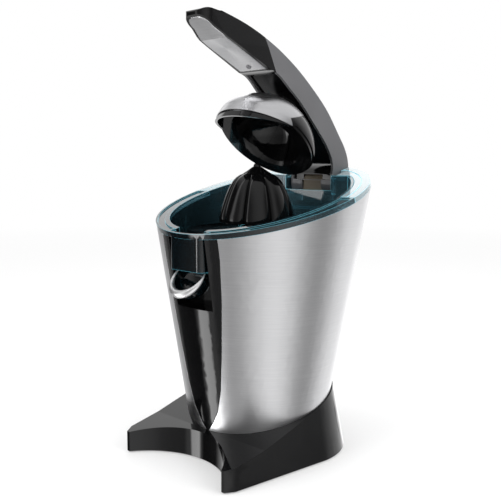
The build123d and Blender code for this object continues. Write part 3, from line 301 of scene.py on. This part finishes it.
for node, slot in SLOT_OF.items():
    nodes[node].data.materials.clear()
    nodes[node].data.materials.append(FINISH[slot])
# Frosted plastic at the rear of the rim: it lets little light through and is pale blue grey, paling further
# towards the rear as a painted reflection, with a painted cyan glow on its edges.
CAP_FINISH = smoked_clear("san_frosted_blue", "#5f7a83", "#b3c0c4", "#7fd0e2", 0.7, 0.25)
print("finishes:", len(FINISH) + 1)


# %% [markdown]
# ## Working habits
#
# An operator acts on all that is selected, and the loader leaves the CAD nodes selected. So each step
# starts from nothing selected and object mode, and takes up one object at a time. Parts of a mesh are
# selected by a rule about their place. A cut or an extrusion leaves holes, and closing them makes the mesh
# a solid again.

# %% Selecting and closing
SELECT_MODE = {"vertices": "VERT", "polygons": "FACE"}
SEAM_MM = 0.005


def rest_hands():
    if bpy.context.mode != "OBJECT":
        bpy.ops.object.mode_set(mode="OBJECT")
    bpy.ops.object.select_all(action="DESELECT")


def take(piece):
    rest_hands()
    piece.select_set(True)
    bpy.context.view_layer.objects.active = piece


def choose(piece, wanted, kind="vertices"):
    """Selects the parts of a mesh for which wanted(part) is true, and goes back to edit mode."""
    bpy.ops.object.mode_set(mode="EDIT")
    bpy.ops.mesh.select_mode(type=SELECT_MODE[kind])
    bpy.ops.mesh.select_all(action="DESELECT")
    bpy.ops.object.mode_set(mode="OBJECT")
    found = 0
    for part in getattr(piece.data, kind):
        if wanted(part):
            part.select = True
            found += 1
    bpy.ops.object.mode_set(mode="EDIT")
    return found


def close_ends():
    """In edit mode: fills every hole, merges the seams, turns the faces outwards and leaves edit mode."""
    bpy.ops.mesh.select_all(action="DESELECT")
    bpy.ops.mesh.select_mode(type="EDGE")
    bpy.ops.mesh.select_non_manifold()
    bpy.ops.mesh.fill_holes(sides=0)
    bpy.ops.mesh.select_all(action="SELECT")
    bpy.ops.mesh.remove_doubles(threshold=SEAM_MM * MM)
    bpy.ops.mesh.normals_make_consistent(inside=False)
    bpy.ops.object.mode_set(mode="OBJECT")


# %% [markdown]
# A finished piece needs two facts: which body it rides with and which finish of the record it carries, and
# the CAD node that it replaces is hidden. Its own place, turn and scale are written into its mesh first.

# %% Finishing and handing over
def modify(piece, kind, **settings):
    take(piece)
    modifier = piece.modifiers.new(kind.lower(), kind)
    for name, value in settings.items():
        setattr(modifier, name, value)
    bpy.ops.object.modifier_apply(modifier=modifier.name)


def hand_over(piece, name, node, slot=None, finish=None):
    """Sets a finished piece in its place: it rides with the CAD node's body, and the node is hidden."""
    slot = slot or SLOT_OF[node]
    take(piece)
    bpy.ops.object.transform_apply(location=True, rotation=True, scale=True)
    piece.name = name
    piece.data.name = name
    piece.data.materials.clear()
    piece.data.materials.append(finish or FINISH[slot])
    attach(piece, BODY_OF[node])
    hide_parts(node)
    print(name, len(piece.data.polygons), "faces")


# %% [markdown]
# ## Soft edges on moulded and pressed parts
#
# No real moulding or pressing has a knife edge: a small radius on each catches the light. Where the CAD
# shape is right, the node is copied, the copy's loose triangles are merged to clean faces, and a bevel
# rounds every sharp edge. Weighted normals then keep the flat faces flat and let only the bevels shine
# round. The bevel gives its new faces the second material, and that is turned into a mark, so that a
# finish can tell an edge.

# %% Soften a node
MERGE_MM, FLAT_DEGREES = 0.01, 0.5
SHARP_DEGREES, BEVEL_STEPS, FLAT_WEIGHT = 35, 2, 80
BEVEL_MATERIAL = 1


def copy_node(node):
    """Copies a CAD node, frees the copy from its body and merges its triangles to clean faces."""
    take(nodes[node])
    bpy.ops.object.duplicate()
    piece = bpy.context.active_object
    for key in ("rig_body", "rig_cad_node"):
        if key in piece:
            del piece[key]
    piece.parent = None
    bpy.ops.object.mode_set(mode="EDIT")
    bpy.ops.mesh.select_all(action="SELECT")
    bpy.ops.mesh.remove_doubles(threshold=MERGE_MM * MM)
    bpy.ops.mesh.dissolve_limited(angle_limit=math.radians(FLAT_DEGREES))
    bpy.ops.object.mode_set(mode="OBJECT")
    return piece


def mark_edges(piece):
    edge = piece.data.attributes.new("edge", "FLOAT", "FACE")
    for face in piece.data.polygons:
        edge.data[face.index].value = float(face.material_index == BEVEL_MATERIAL)
        face.material_index = 0


def soften(node, radius_mm):
    piece = copy_node(node)
    bpy.ops.object.shade_smooth_by_angle(angle=math.radians(SHARP_DEGREES))
    piece.data.materials.append(FINISH[SLOT_OF[node]])
    modify(piece, "BEVEL", width=radius_mm * MM, segments=BEVEL_STEPS, limit_method="ANGLE",
           material=BEVEL_MATERIAL, angle_limit=math.radians(SHARP_DEGREES), use_clamp_overlap=True,
           harden_normals=True)
    mark_edges(piece)
    modify(piece, "WEIGHTED_NORMAL", keep_sharp=True, weight=FLAT_WEIGHT)
    return piece


# %% [markdown]
# Each visible part gets the edge of its trade: cut sheet steel keeps a nearly sharp one, a thin plastic
# pressing about half a millimetre, and mouldings that a hand meets about one millimetre.

# %% Soften the visible parts
EDGE_MM = {
    "base_shell": 0.8, "steel_wrap": 0.25, "front_panel": 0.4, "juice_tray": 0.9,
    "strainer": 0.25, "hinge_block": 0.8, "arm_shell": 0.8, "arm_core": 0.8,
    "handle": 1.2, "grip_plate": 0.5, "press_cup": 0.5, "dome_hood": 0.5,
}
for node, radius_mm in EDGE_MM.items():
    hand_over(soften(node, radius_mm), node + "_soft", node)


# %% [markdown]
# ## The dome's two tones
#
# The dome over the press cup is half steel, half black: the steel cover ends in a level edge that drops to
# a small tooth on each side. The cover is cut along that edge with two planes, and what lies below and
# behind them is parted off and finished black. Both parts get their cut walls closed.

# %% Dome cover
COVER_EDGE_MM = 0.3
TOOTH_Y, STEEL_EDGE_Z, STEEL_EDGE_RISE = -1.5, 318.5, 0.13
TOOTH_PLANE = ((0, TOOTH_Y, 0), (0, 1, 0))
LEVEL_PLANE = ((0, TOOTH_Y, STEEL_EDGE_Z), (0, -STEEL_EDGE_RISE, 1))


def below_steel(point):
    back = point.y / MM - TOOTH_Y
    return back > 0 and point.z / MM < STEEL_EDGE_Z + STEEL_EDGE_RISE * back


cover = soften("dome_cover", COVER_EDGE_MM)
take(cover)
bpy.ops.object.mode_set(mode="EDIT")
for corner, facing in (TOOTH_PLANE, LEVEL_PLANE):
    bpy.ops.mesh.select_all(action="SELECT")
    bpy.ops.mesh.bisect(plane_co=Vector(corner) * MM, plane_no=facing)
found = choose(cover, lambda face: below_steel(face.center), "polygons")
bpy.ops.mesh.separate(type="SELECTED")
bpy.ops.object.mode_set(mode="OBJECT")
skirt = [piece for piece in bpy.context.selected_objects if piece != cover][0]
for piece in (cover, skirt):
    take(piece)
    bpy.ops.object.mode_set(mode="EDIT")
    close_ends()
hand_over(cover, "dome_steel", "dome_cover")
hand_over(skirt, "dome_black_side", "dome_cover", "gloss_black")
print("black side of the dome:", found, "faces before closing")

# %% [markdown]
# ## Three parts in another finish
#
# The rim's rear cap shows frosted blue edges, the spout is clear and smoked like the tray, and the deck
# under the tray has to be black, or it would shine through the smoked plastic as a pale disc.

# %% Rear cap, spout and deck
hand_over(soften("rear_cap", 0.8), "cap_soft", "rear_cap", finish=CAP_FINISH)
hand_over(soften("spout", 0.5), "spout_soft", "spout", finish=FINISH["smoke_blue"])
hand_over(soften("top_deck", 0.4), "deck_soft", "top_deck", finish=FINISH["black_matte"])

# %% [markdown]
# ## The reaming cone
#
# The real cone is one moulding with eight broad pillow-like lobes and narrow grooves between them, which
# tear the fruit open while it turns. By hand it is one outline carried upwards: a circle is pinched
# inwards at eight places to a plan of lobes, then extruded step by step, and each step is drawn in to the
# next radius. The plan gives the outline's radius from the middle of a lobe to the groove beside it.

# %% Lobed outline
LOBES = 8
LOBE_PLAN = (1.0, 1.0, 0.999, 0.996, 0.99, 0.98, 0.96, 0.925, 0.86)
SAME_STEP = 0.25


def plan_angle(point, sides):
    """How far a point's direction is from the middle of its lobe, in steps of the outline."""
    turn = math.atan2(point.y, point.x) * sides / (2 * math.pi)
    per_lobe = sides / LOBES
    return abs((turn + per_lobe / 2) % per_lobe - per_lobe / 2)


def lobed_outline(name, radius_mm, height_mm):
    """Draws the outline, and leaves it selected in edit mode."""
    rest_hands()
    sides = LOBES * 2 * (len(LOBE_PLAN) - 1)
    middle = (0, 0, height_mm * MM)
    bpy.ops.mesh.primitive_circle_add(vertices=sides, radius=radius_mm * MM, location=middle)
    piece = bpy.context.active_object
    piece.name = name
    bpy.ops.object.transform_apply(location=True)
    for step, share in enumerate(LOBE_PLAN):
        choose(piece, lambda v: abs(plan_angle(v.co, sides) - step) < SAME_STEP)
        bpy.ops.transform.resize(value=(share, share, 1), center_override=middle)
    bpy.ops.mesh.select_all(action="SELECT")
    return piece


# %% [markdown]
# The steps are pairs of radius and height. The lowest ones round the cone's foot, and the others follow its
# bowed flank up to the shoulder.

# %% Cone
CONE_LOW, CONE_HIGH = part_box("reaming_cone")
CONE_AXIS = (CONE_LOW + CONE_HIGH) / 2
CONE_AXIS.z = CONE_LOW.z
CONE_STEPS = (
    (36.0, 0.0), (36.7, 0.8), (36.8, 3.0), (36.3, 8.0), (34.8, 13.0), (33.4, 17.5), (31.8, 22.0),
    (30.1, 26.5), (28.2, 31.0), (26.0, 35.5), (23.6, 39.5), (20.4, 43.2), (17.0, 45.6), (14.0, 46.8),
)
ROUND_DEGREES = 50


def raise_steps(steps, twist=0.0):
    """Extrudes the selected ring up through (radius, height) steps, in millimetres."""
    for (r0, h0), (r1, h1) in zip(steps, steps[1:]):
        bpy.ops.mesh.extrude_region_move(TRANSFORM_OT_translate={"value": (0, 0, (h1 - h0) * MM)})
        middle = (0, 0, h1 * MM)
        bpy.ops.transform.resize(value=(r1 / r0, r1 / r0, 1), center_override=middle)
        if twist:
            bpy.ops.transform.rotate(value=math.radians(twist), orient_axis="Z", center_override=middle)


cone = lobed_outline("cone_lobes", *CONE_STEPS[0])
raise_steps(CONE_STEPS)
close_ends()
bpy.ops.object.shade_smooth_by_angle(angle=math.radians(ROUND_DEGREES))
cone.location = CONE_AXIS
hand_over(cone, "cone_lobes", "reaming_cone")

# %% [markdown]
# The cone's crown is where the lobes run together under a blunt tip. It is drawn on from a smaller lobed
# outline, with a twist at each step, so that its facets lean like a drill's. The tip gets a round cap.

# %% Crown and tip of the cone
CROWN_STEPS = ((14.6, 46.2), (12.8, 47.6), (10.6, 49.0), (8.2, 50.6), (6.0, 52.2), (4.2, 53.4))
CROWN_TWIST, CROWN_SHARP_DEGREES = -5.0, 30
TIP_STEPS = ((3.6, 52.6), (3.5, 54.4), (3.0, 55.8), (2.2, 56.6), (1.2, 57.0))
TIP_SIDES = 32
crown = lobed_outline("cone_crown", *CROWN_STEPS[0])
raise_steps(CROWN_STEPS, twist=CROWN_TWIST)
close_ends()
bpy.ops.object.shade_smooth_by_angle(angle=math.radians(CROWN_SHARP_DEGREES))
rest_hands()
tip_radius, tip_foot = (length * MM for length in TIP_STEPS[0])
bpy.ops.mesh.primitive_circle_add(vertices=TIP_SIDES, radius=tip_radius, location=(0, 0, tip_foot))
tip = bpy.context.active_object
bpy.ops.object.transform_apply(location=True)
bpy.ops.object.mode_set(mode="EDIT")
bpy.ops.mesh.select_all(action="SELECT")
raise_steps(TIP_STEPS)
close_ends()
bpy.ops.object.shade_smooth_by_angle(angle=math.radians(ROUND_DEGREES))
for piece in (crown, tip):
    piece.location = CONE_AXIS
hand_over(crown, "cone_crown", "cone_nub")
hand_over(tip, "cone_tip", "cone_nub")

# %% [markdown]
# ## The spout's crescent
#
# A bright plated trim runs round the spout's mouth, thick under the stream and thin at its ends. A torus
# gives its round section. Each ring of the torus is drawn in towards its own middle by how far it lies from
# the lowest point, and the top is cut away.

# %% Spout crescent
LIP_LEAN = math.radians(40)
LIP_SIDE = Vector((1, 0, 0))
LIP_OUT = Vector((0, -math.cos(LIP_LEAN), math.sin(LIP_LEAN)))
LIP_UP = Vector((0, math.sin(LIP_LEAN), math.cos(LIP_LEAN)))
LIP_CENTRE = Vector((0, -86.0, 176.5)) * MM
LIP_PLACE = Matrix.Translation(LIP_CENTRE) @ Matrix((LIP_SIDE, LIP_UP, LIP_OUT)).transposed().to_4x4()
LIP_R, LIP_THICK, LIP_ENDS = 18.9, 3.7, 0.22
LIP_RINGS, LIP_SECTION = 64, 16
LIP_SPAN = math.radians(100)
LIP_CUT_HEIGHT = 5.0
LIP_SMOOTH_DEGREES = 60

rest_hands()
bpy.ops.mesh.primitive_torus_add(major_segments=LIP_RINGS, minor_segments=LIP_SECTION,
                                 major_radius=LIP_R * MM, minor_radius=LIP_THICK * MM)
crescent = bpy.context.active_object
for ring in range(LIP_RINGS):
    turn = ring * 2 * math.pi / LIP_RINGS
    way = Vector((math.cos(turn), math.sin(turn), 0))
    from_low = math.acos(max(-1.0, min(1.0, -way.y)))
    share = LIP_ENDS + (1 - LIP_ENDS) * max(0.0, math.cos(min(from_low / LIP_SPAN, 1.0) * math.pi / 2))
    choose(crescent, lambda v: v.co.xy.normalized().dot(way.xy) > math.cos(math.pi / LIP_RINGS))
    bpy.ops.transform.resize(value=(share, share, share), center_override=way * LIP_R * MM)
bpy.ops.mesh.select_all(action="SELECT")
bpy.ops.mesh.bisect(plane_co=(0, LIP_CUT_HEIGHT * MM, 0), plane_no=(0, 1, 0), use_fill=True,
                    clear_outer=True)
bpy.ops.object.mode_set(mode="OBJECT")
bpy.ops.object.shade_smooth_by_angle(angle=math.radians(LIP_SMOOTH_DEGREES))
crescent.matrix_world = LIP_PLACE
hand_over(crescent, "spout_crescent", "spout_lip")


# %% [markdown]
# ## The return spring
#
# Under the collar of the cone's spindle a coil spring lifts the cone back, and it shortens when the cone is
# pressed. The CAD keeps a plain sleeve in its place. Here a small circle, the wire's section, is wound up
# round the axis by a screw modifier.

# %% Return spring
WIRE_R, TURNS, TRAVEL = 0.7, 5, 2.5
WIRE_SIDES, STEPS_PER_TURN = 12, 24
COIL_SMOOTH_DEGREES = 60
SPRING_LOW, SPRING_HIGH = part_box("return_spring")
tall = SPRING_HIGH.z - SPRING_LOW.z
foot = Vector(((SPRING_LOW.x + SPRING_HIGH.x) / 2, (SPRING_LOW.y + SPRING_HIGH.y) / 2, SPRING_LOW.z))
coil_r = (SPRING_HIGH.x - SPRING_LOW.x) / 2 - WIRE_R * MM
rest_hands()
bpy.ops.mesh.primitive_circle_add(vertices=WIRE_SIDES, radius=WIRE_R * MM,
                                  location=(coil_r, 0, WIRE_R * MM), rotation=(math.radians(90), 0, 0))
coil = bpy.context.active_object
bpy.ops.object.transform_apply(location=True, rotation=True)
modify(coil, "SCREW", screw_offset=(tall - 2 * WIRE_R * MM) / TURNS, iterations=TURNS,
       steps=STEPS_PER_TURN, render_steps=STEPS_PER_TURN)
bpy.ops.object.mode_set(mode="EDIT")
close_ends()
bpy.ops.object.shade_smooth_by_angle(angle=math.radians(COIL_SMOOTH_DEGREES))
coil.location = foot
hand_over(coil, "return_coil", "return_spring")
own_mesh(coil)
print("spring:", round(tall / MM, 1), "mm tall,", TURNS, "turns")

# %% [markdown]
# ## The floor
#
# The photograph is a plain studio picture. The floor is pale paper and takes the shadow. Seen by the camera
# it is helped towards white the further it lies from the object, so no horizon shows. The drum leans
# outwards, so it would mirror nothing but paper: mirrored rays pass the floor and meet the painted room
# below it.

# %% Floor
FLOOR_SIZE = 12
FIBRES_PER_METRE = 400.0
FADE_FROM, FADE_TO, FADE_NEAR = 0.25, 2.5, 0.3


def floor_material():
    material, tree = new_graph("studio_paper_pale")
    place = add(tree, "ShaderNodeTexCoord").outputs["Object"]
    fibre = add(tree, "ShaderNodeTexNoise", {"Vector": place, "Scale": FIBRES_PER_METRE, "Detail": 2.0})
    tones = {MIX_FACTOR: fibre.outputs[0], MIX_FIRST: linear("#ececec"), MIX_SECOND: linear("#f2f2f2")}
    paper = add(tree, "ShaderNodeMix", tones, data_type="RGBA")
    sheet = add(tree, "ShaderNodeBsdfDiffuse", {"Color": paper.outputs[MIXED]})
    far = add(tree, "ShaderNodeVectorMath", {0: place}, operation="LENGTH").outputs["Value"]
    fade = add(tree, "ShaderNodeMapRange",
               {"Value": far, "From Min": FADE_FROM, "From Max": FADE_TO, "To Min": FADE_NEAR})
    seen = add(tree, "ShaderNodeLightPath").outputs["Is Camera Ray"]
    share = add(tree, "ShaderNodeMath", {0: fade.outputs[0], 1: seen}, operation="MULTIPLY")
    white = add(tree, "ShaderNodeEmission", {"Color": linear("#ffffff"), "Strength": 1.0})
    both = {0: share.outputs[0], 1: sheet.outputs[0], 2: white.outputs[0]}
    mixed = add(tree, "ShaderNodeMixShader", both)
    add(tree, "ShaderNodeOutputMaterial", {"Surface": mixed.outputs[0]})
    return material


rest_hands()
bpy.ops.mesh.primitive_plane_add(size=FLOOR_SIZE, location=(0, 0, 0))
floor = bpy.context.active_object
floor.name = "studio_floor"
floor.data.materials.append(floor_material())
floor.visible_glossy = False
print("floor:", FLOOR_SIZE, "m wide, not seen in mirrors")

# %% [markdown]
# ## The room that the steel mirrors
#
# Steel shows its room. The photograph's drum has a broad pale band at its middle, a grey one to the right
# and a white edge, so the room is pale with soft grey gaps between its light panels. The world paints that
# room as a ramp of directions around the object, the same for every view. Each stop is an angle round the
# object, counted from the camera's side, and a brightness; the ramp holds them as shares of the brightest.

# %% Room
ROOM = (
    (-180, 2.1), (-166, 0.9), (-150, 0.70), (-136, 0.45), (-126, 0.05), (-101, 0.04), (-95, 0.04),
    (-90, 0.8), (-66, 0.8), (-61, 0.34), (-42, 0.40), (-28, 0.52), (-14, 0.82), (4, 1.05), (18, 1.15),
    (34, 1.0), (50, 0.60), (63, 0.38), (74, 0.33), (86, 0.48), (100, 0.85), (116, 1.12), (138, 1.15),
    (148, 1.5), (170, 2.0),
)
ROOM_PEAK = 2.4
CAMERA_AZIMUTH = -45


def ramp_place(angle):
    return angle / 360 + 0.5


def grey(value):
    return (value / ROOM_PEAK,) * 3 + (1,)


world = bpy.data.worlds.new("studio")
bpy.context.scene.world = world
world.use_nodes = True
sky = world.node_tree
sky.nodes.clear()
way = add(sky, "ShaderNodeTexCoord").outputs["Generated"]
turned = add(sky, "ShaderNodeMapping", {"Vector": way, "Rotation": (0, 0, math.radians(-CAMERA_AZIMUTH))})
compass = add(sky, "ShaderNodeTexGradient", {"Vector": turned.outputs[0]}, gradient_type="RADIAL")
around = compass.outputs["Fac"]
room = add(sky, "ShaderNodeValToRGB", {"Fac": around})
stops = room.color_ramp.elements
stops[0].position, stops[1].position = 0.0, 1.0
for angle, value in ROOM:
    stop = stops[0] if angle == ROOM[0][0] else stops.new(ramp_place(angle))
    stop.color = grey(value)
stops[len(stops) - 1].color = grey(ROOM[0][1])
print("room:", len(stops), "stops")

# %% [markdown]
# Overhead the room turns to an even ceiling. At the level of the horizon it is darker, so that upright
# black faces stay deep. The tall bright stripe down the black front panel is one narrow strip light,
# brighter low down, where the leaning panel looks.

# %% Ceiling, horizon and strip light
CEILING = 1.2
CEILING_FROM, CEILING_TO = 0.5, 0.8
HORIZON_SHARE, HORIZON_FROM, HORIZON_TO = 0.65, -0.25, -0.05
STRIP_FROM, STRIP_TO, STRIP_SOFT = -90, -71, 3
STRIP_LOW, STRIP_HIGH, STRIP_TURN = 14.0, 4.0, 0.1
height = add(sky, "ShaderNodeSeparateXYZ", {0: way}).outputs["Z"]
above = add(sky, "ShaderNodeMapRange", {"Value": height, "From Min": CEILING_FROM, "From Max": CEILING_TO})
tones = {MIX_FACTOR: above.outputs[0], MIX_FIRST: room.outputs[0], MIX_SECOND: grey(CEILING)}
dome = add(sky, "ShaderNodeMix", tones, data_type="RGBA")
strip_sides = []
for angle, step in ((STRIP_FROM, STRIP_SOFT), (STRIP_TO, -STRIP_SOFT)):
    side = {"Value": around, "From Min": ramp_place(angle), "From Max": ramp_place(angle + step)}
    strip_sides.append(add(sky, "ShaderNodeMapRange", side).outputs[0])
within = add(sky, "ShaderNodeMath", {0: strip_sides[0], 1: strip_sides[1]}, operation="MULTIPLY")
power = add(sky, "ShaderNodeMapRange", {"Value": height, "From Min": -STRIP_TURN, "From Max": STRIP_TURN,
                                        "To Min": STRIP_LOW, "To Max": STRIP_HIGH})
strip = add(sky, "ShaderNodeMath", {0: within.outputs[0], 1: power.outputs[0], 2: ROOM_PEAK},
            operation="MULTIPLY_ADD")
level = add(sky, "ShaderNodeMapRange", {"Value": height, "From Min": HORIZON_FROM, "From Max": HORIZON_TO,
                                        "To Min": 1.0, "To Max": HORIZON_SHARE})
glow = add(sky, "ShaderNodeMath", {0: strip.outputs[0], 1: level.outputs[0]}, operation="MULTIPLY")
print("strip light:", STRIP_TO - STRIP_FROM, "degrees wide")

# %% [markdown]
# The painted room lights the object and is what metal mirrors, while the camera, and the clear plastic in
# front of it, see plain white.

# %% World
mirrored = add(sky, "ShaderNodeBackground", {"Color": dome.outputs[MIXED], "Strength": glow.outputs[0]})
plain = add(sky, "ShaderNodeBackground", {"Color": linear("#ffffff"), "Strength": 1.0})
path = add(sky, "ShaderNodeLightPath").outputs
open_air = add(sky, "ShaderNodeMath", {0: path["Is Camera Ray"], 1: path["Is Transmission Ray"]},
               operation="MAXIMUM")
both = {0: open_air.outputs[0], 1: mirrored.outputs[0], 2: plain.outputs[0]}
seen = add(sky, "ShaderNodeMixShader", both)
add(sky, "ShaderNodeOutputWorld", {"Surface": seen.outputs[0]})
print("world:", len(sky.nodes), "nodes")


# %% [markdown]
# ## Lamps
#
# Three soft boxes give the object its sides and its shadow. They are hidden from mirrored rays, because
# the painted room already holds the panels that the steel shows. The one behind is mirrored: it puts the
# sheen on the base's sloping top and the bright lines on the rim. Places and sizes are in metres, power in
# watts.

# %% Lamps
LAMP_AIM = Vector((0, 0, 0.2))


def soft_box(name, place, size, power, mirrored=False):
    rest_hands()
    bpy.ops.object.light_add(type="AREA", location=place)
    lamp = bpy.context.active_object
    lamp.name = name
    lamp.data.shape = "RECTANGLE"
    lamp.data.size, lamp.data.size_y = size
    lamp.data.energy = power
    lamp.visible_glossy = mirrored
    lamp.rotation_euler = (LAMP_AIM - Vector(place)).to_track_quat("-Z", "Y").to_euler()
    print(name, power, "W")


soft_box("front_box", (-0.3, -1.7, 1.1), (0.9, 1.6), 17)
soft_box("side_box", (1.7, 0.2, 0.9), (0.8, 1.6), 18)
soft_box("top_box", (0.0, 0.2, 1.9), (1.4, 1.4), 15)
soft_box("back_box", (-2.1, 1.6, 1.6), (2.2, 1.2), 6, mirrored=True)

# %% [markdown]
# ## The camera
#
# The camera stands low, off the front corner. Its place, direction and lens were solved from the outlines
# of the drum's rim, its lower ring, the panel and the base in the photograph.

# %% Camera
CAMERA_MM = (527.80, -535.30, 284.29)
CAMERA_BACK = (0.70192, -0.70192, 0.12089)
CAMERA_LENS_MM, CAMERA_SENSOR_MM = 55.87, 36
rest_hands()
bpy.ops.object.camera_add(location=Vector(CAMERA_MM) * MM)
camera = bpy.context.active_object
camera.rotation_euler = (-Vector(CAMERA_BACK)).to_track_quat("-Z", "Y").to_euler()
camera.data.sensor_width = CAMERA_SENSOR_MM
camera.data.lens = CAMERA_LENS_MM
bpy.context.scene.camera = camera
bpy.context.scene.view_settings.view_transform = "Standard"
print("camera:", CAMERA_LENS_MM, "mm lens")
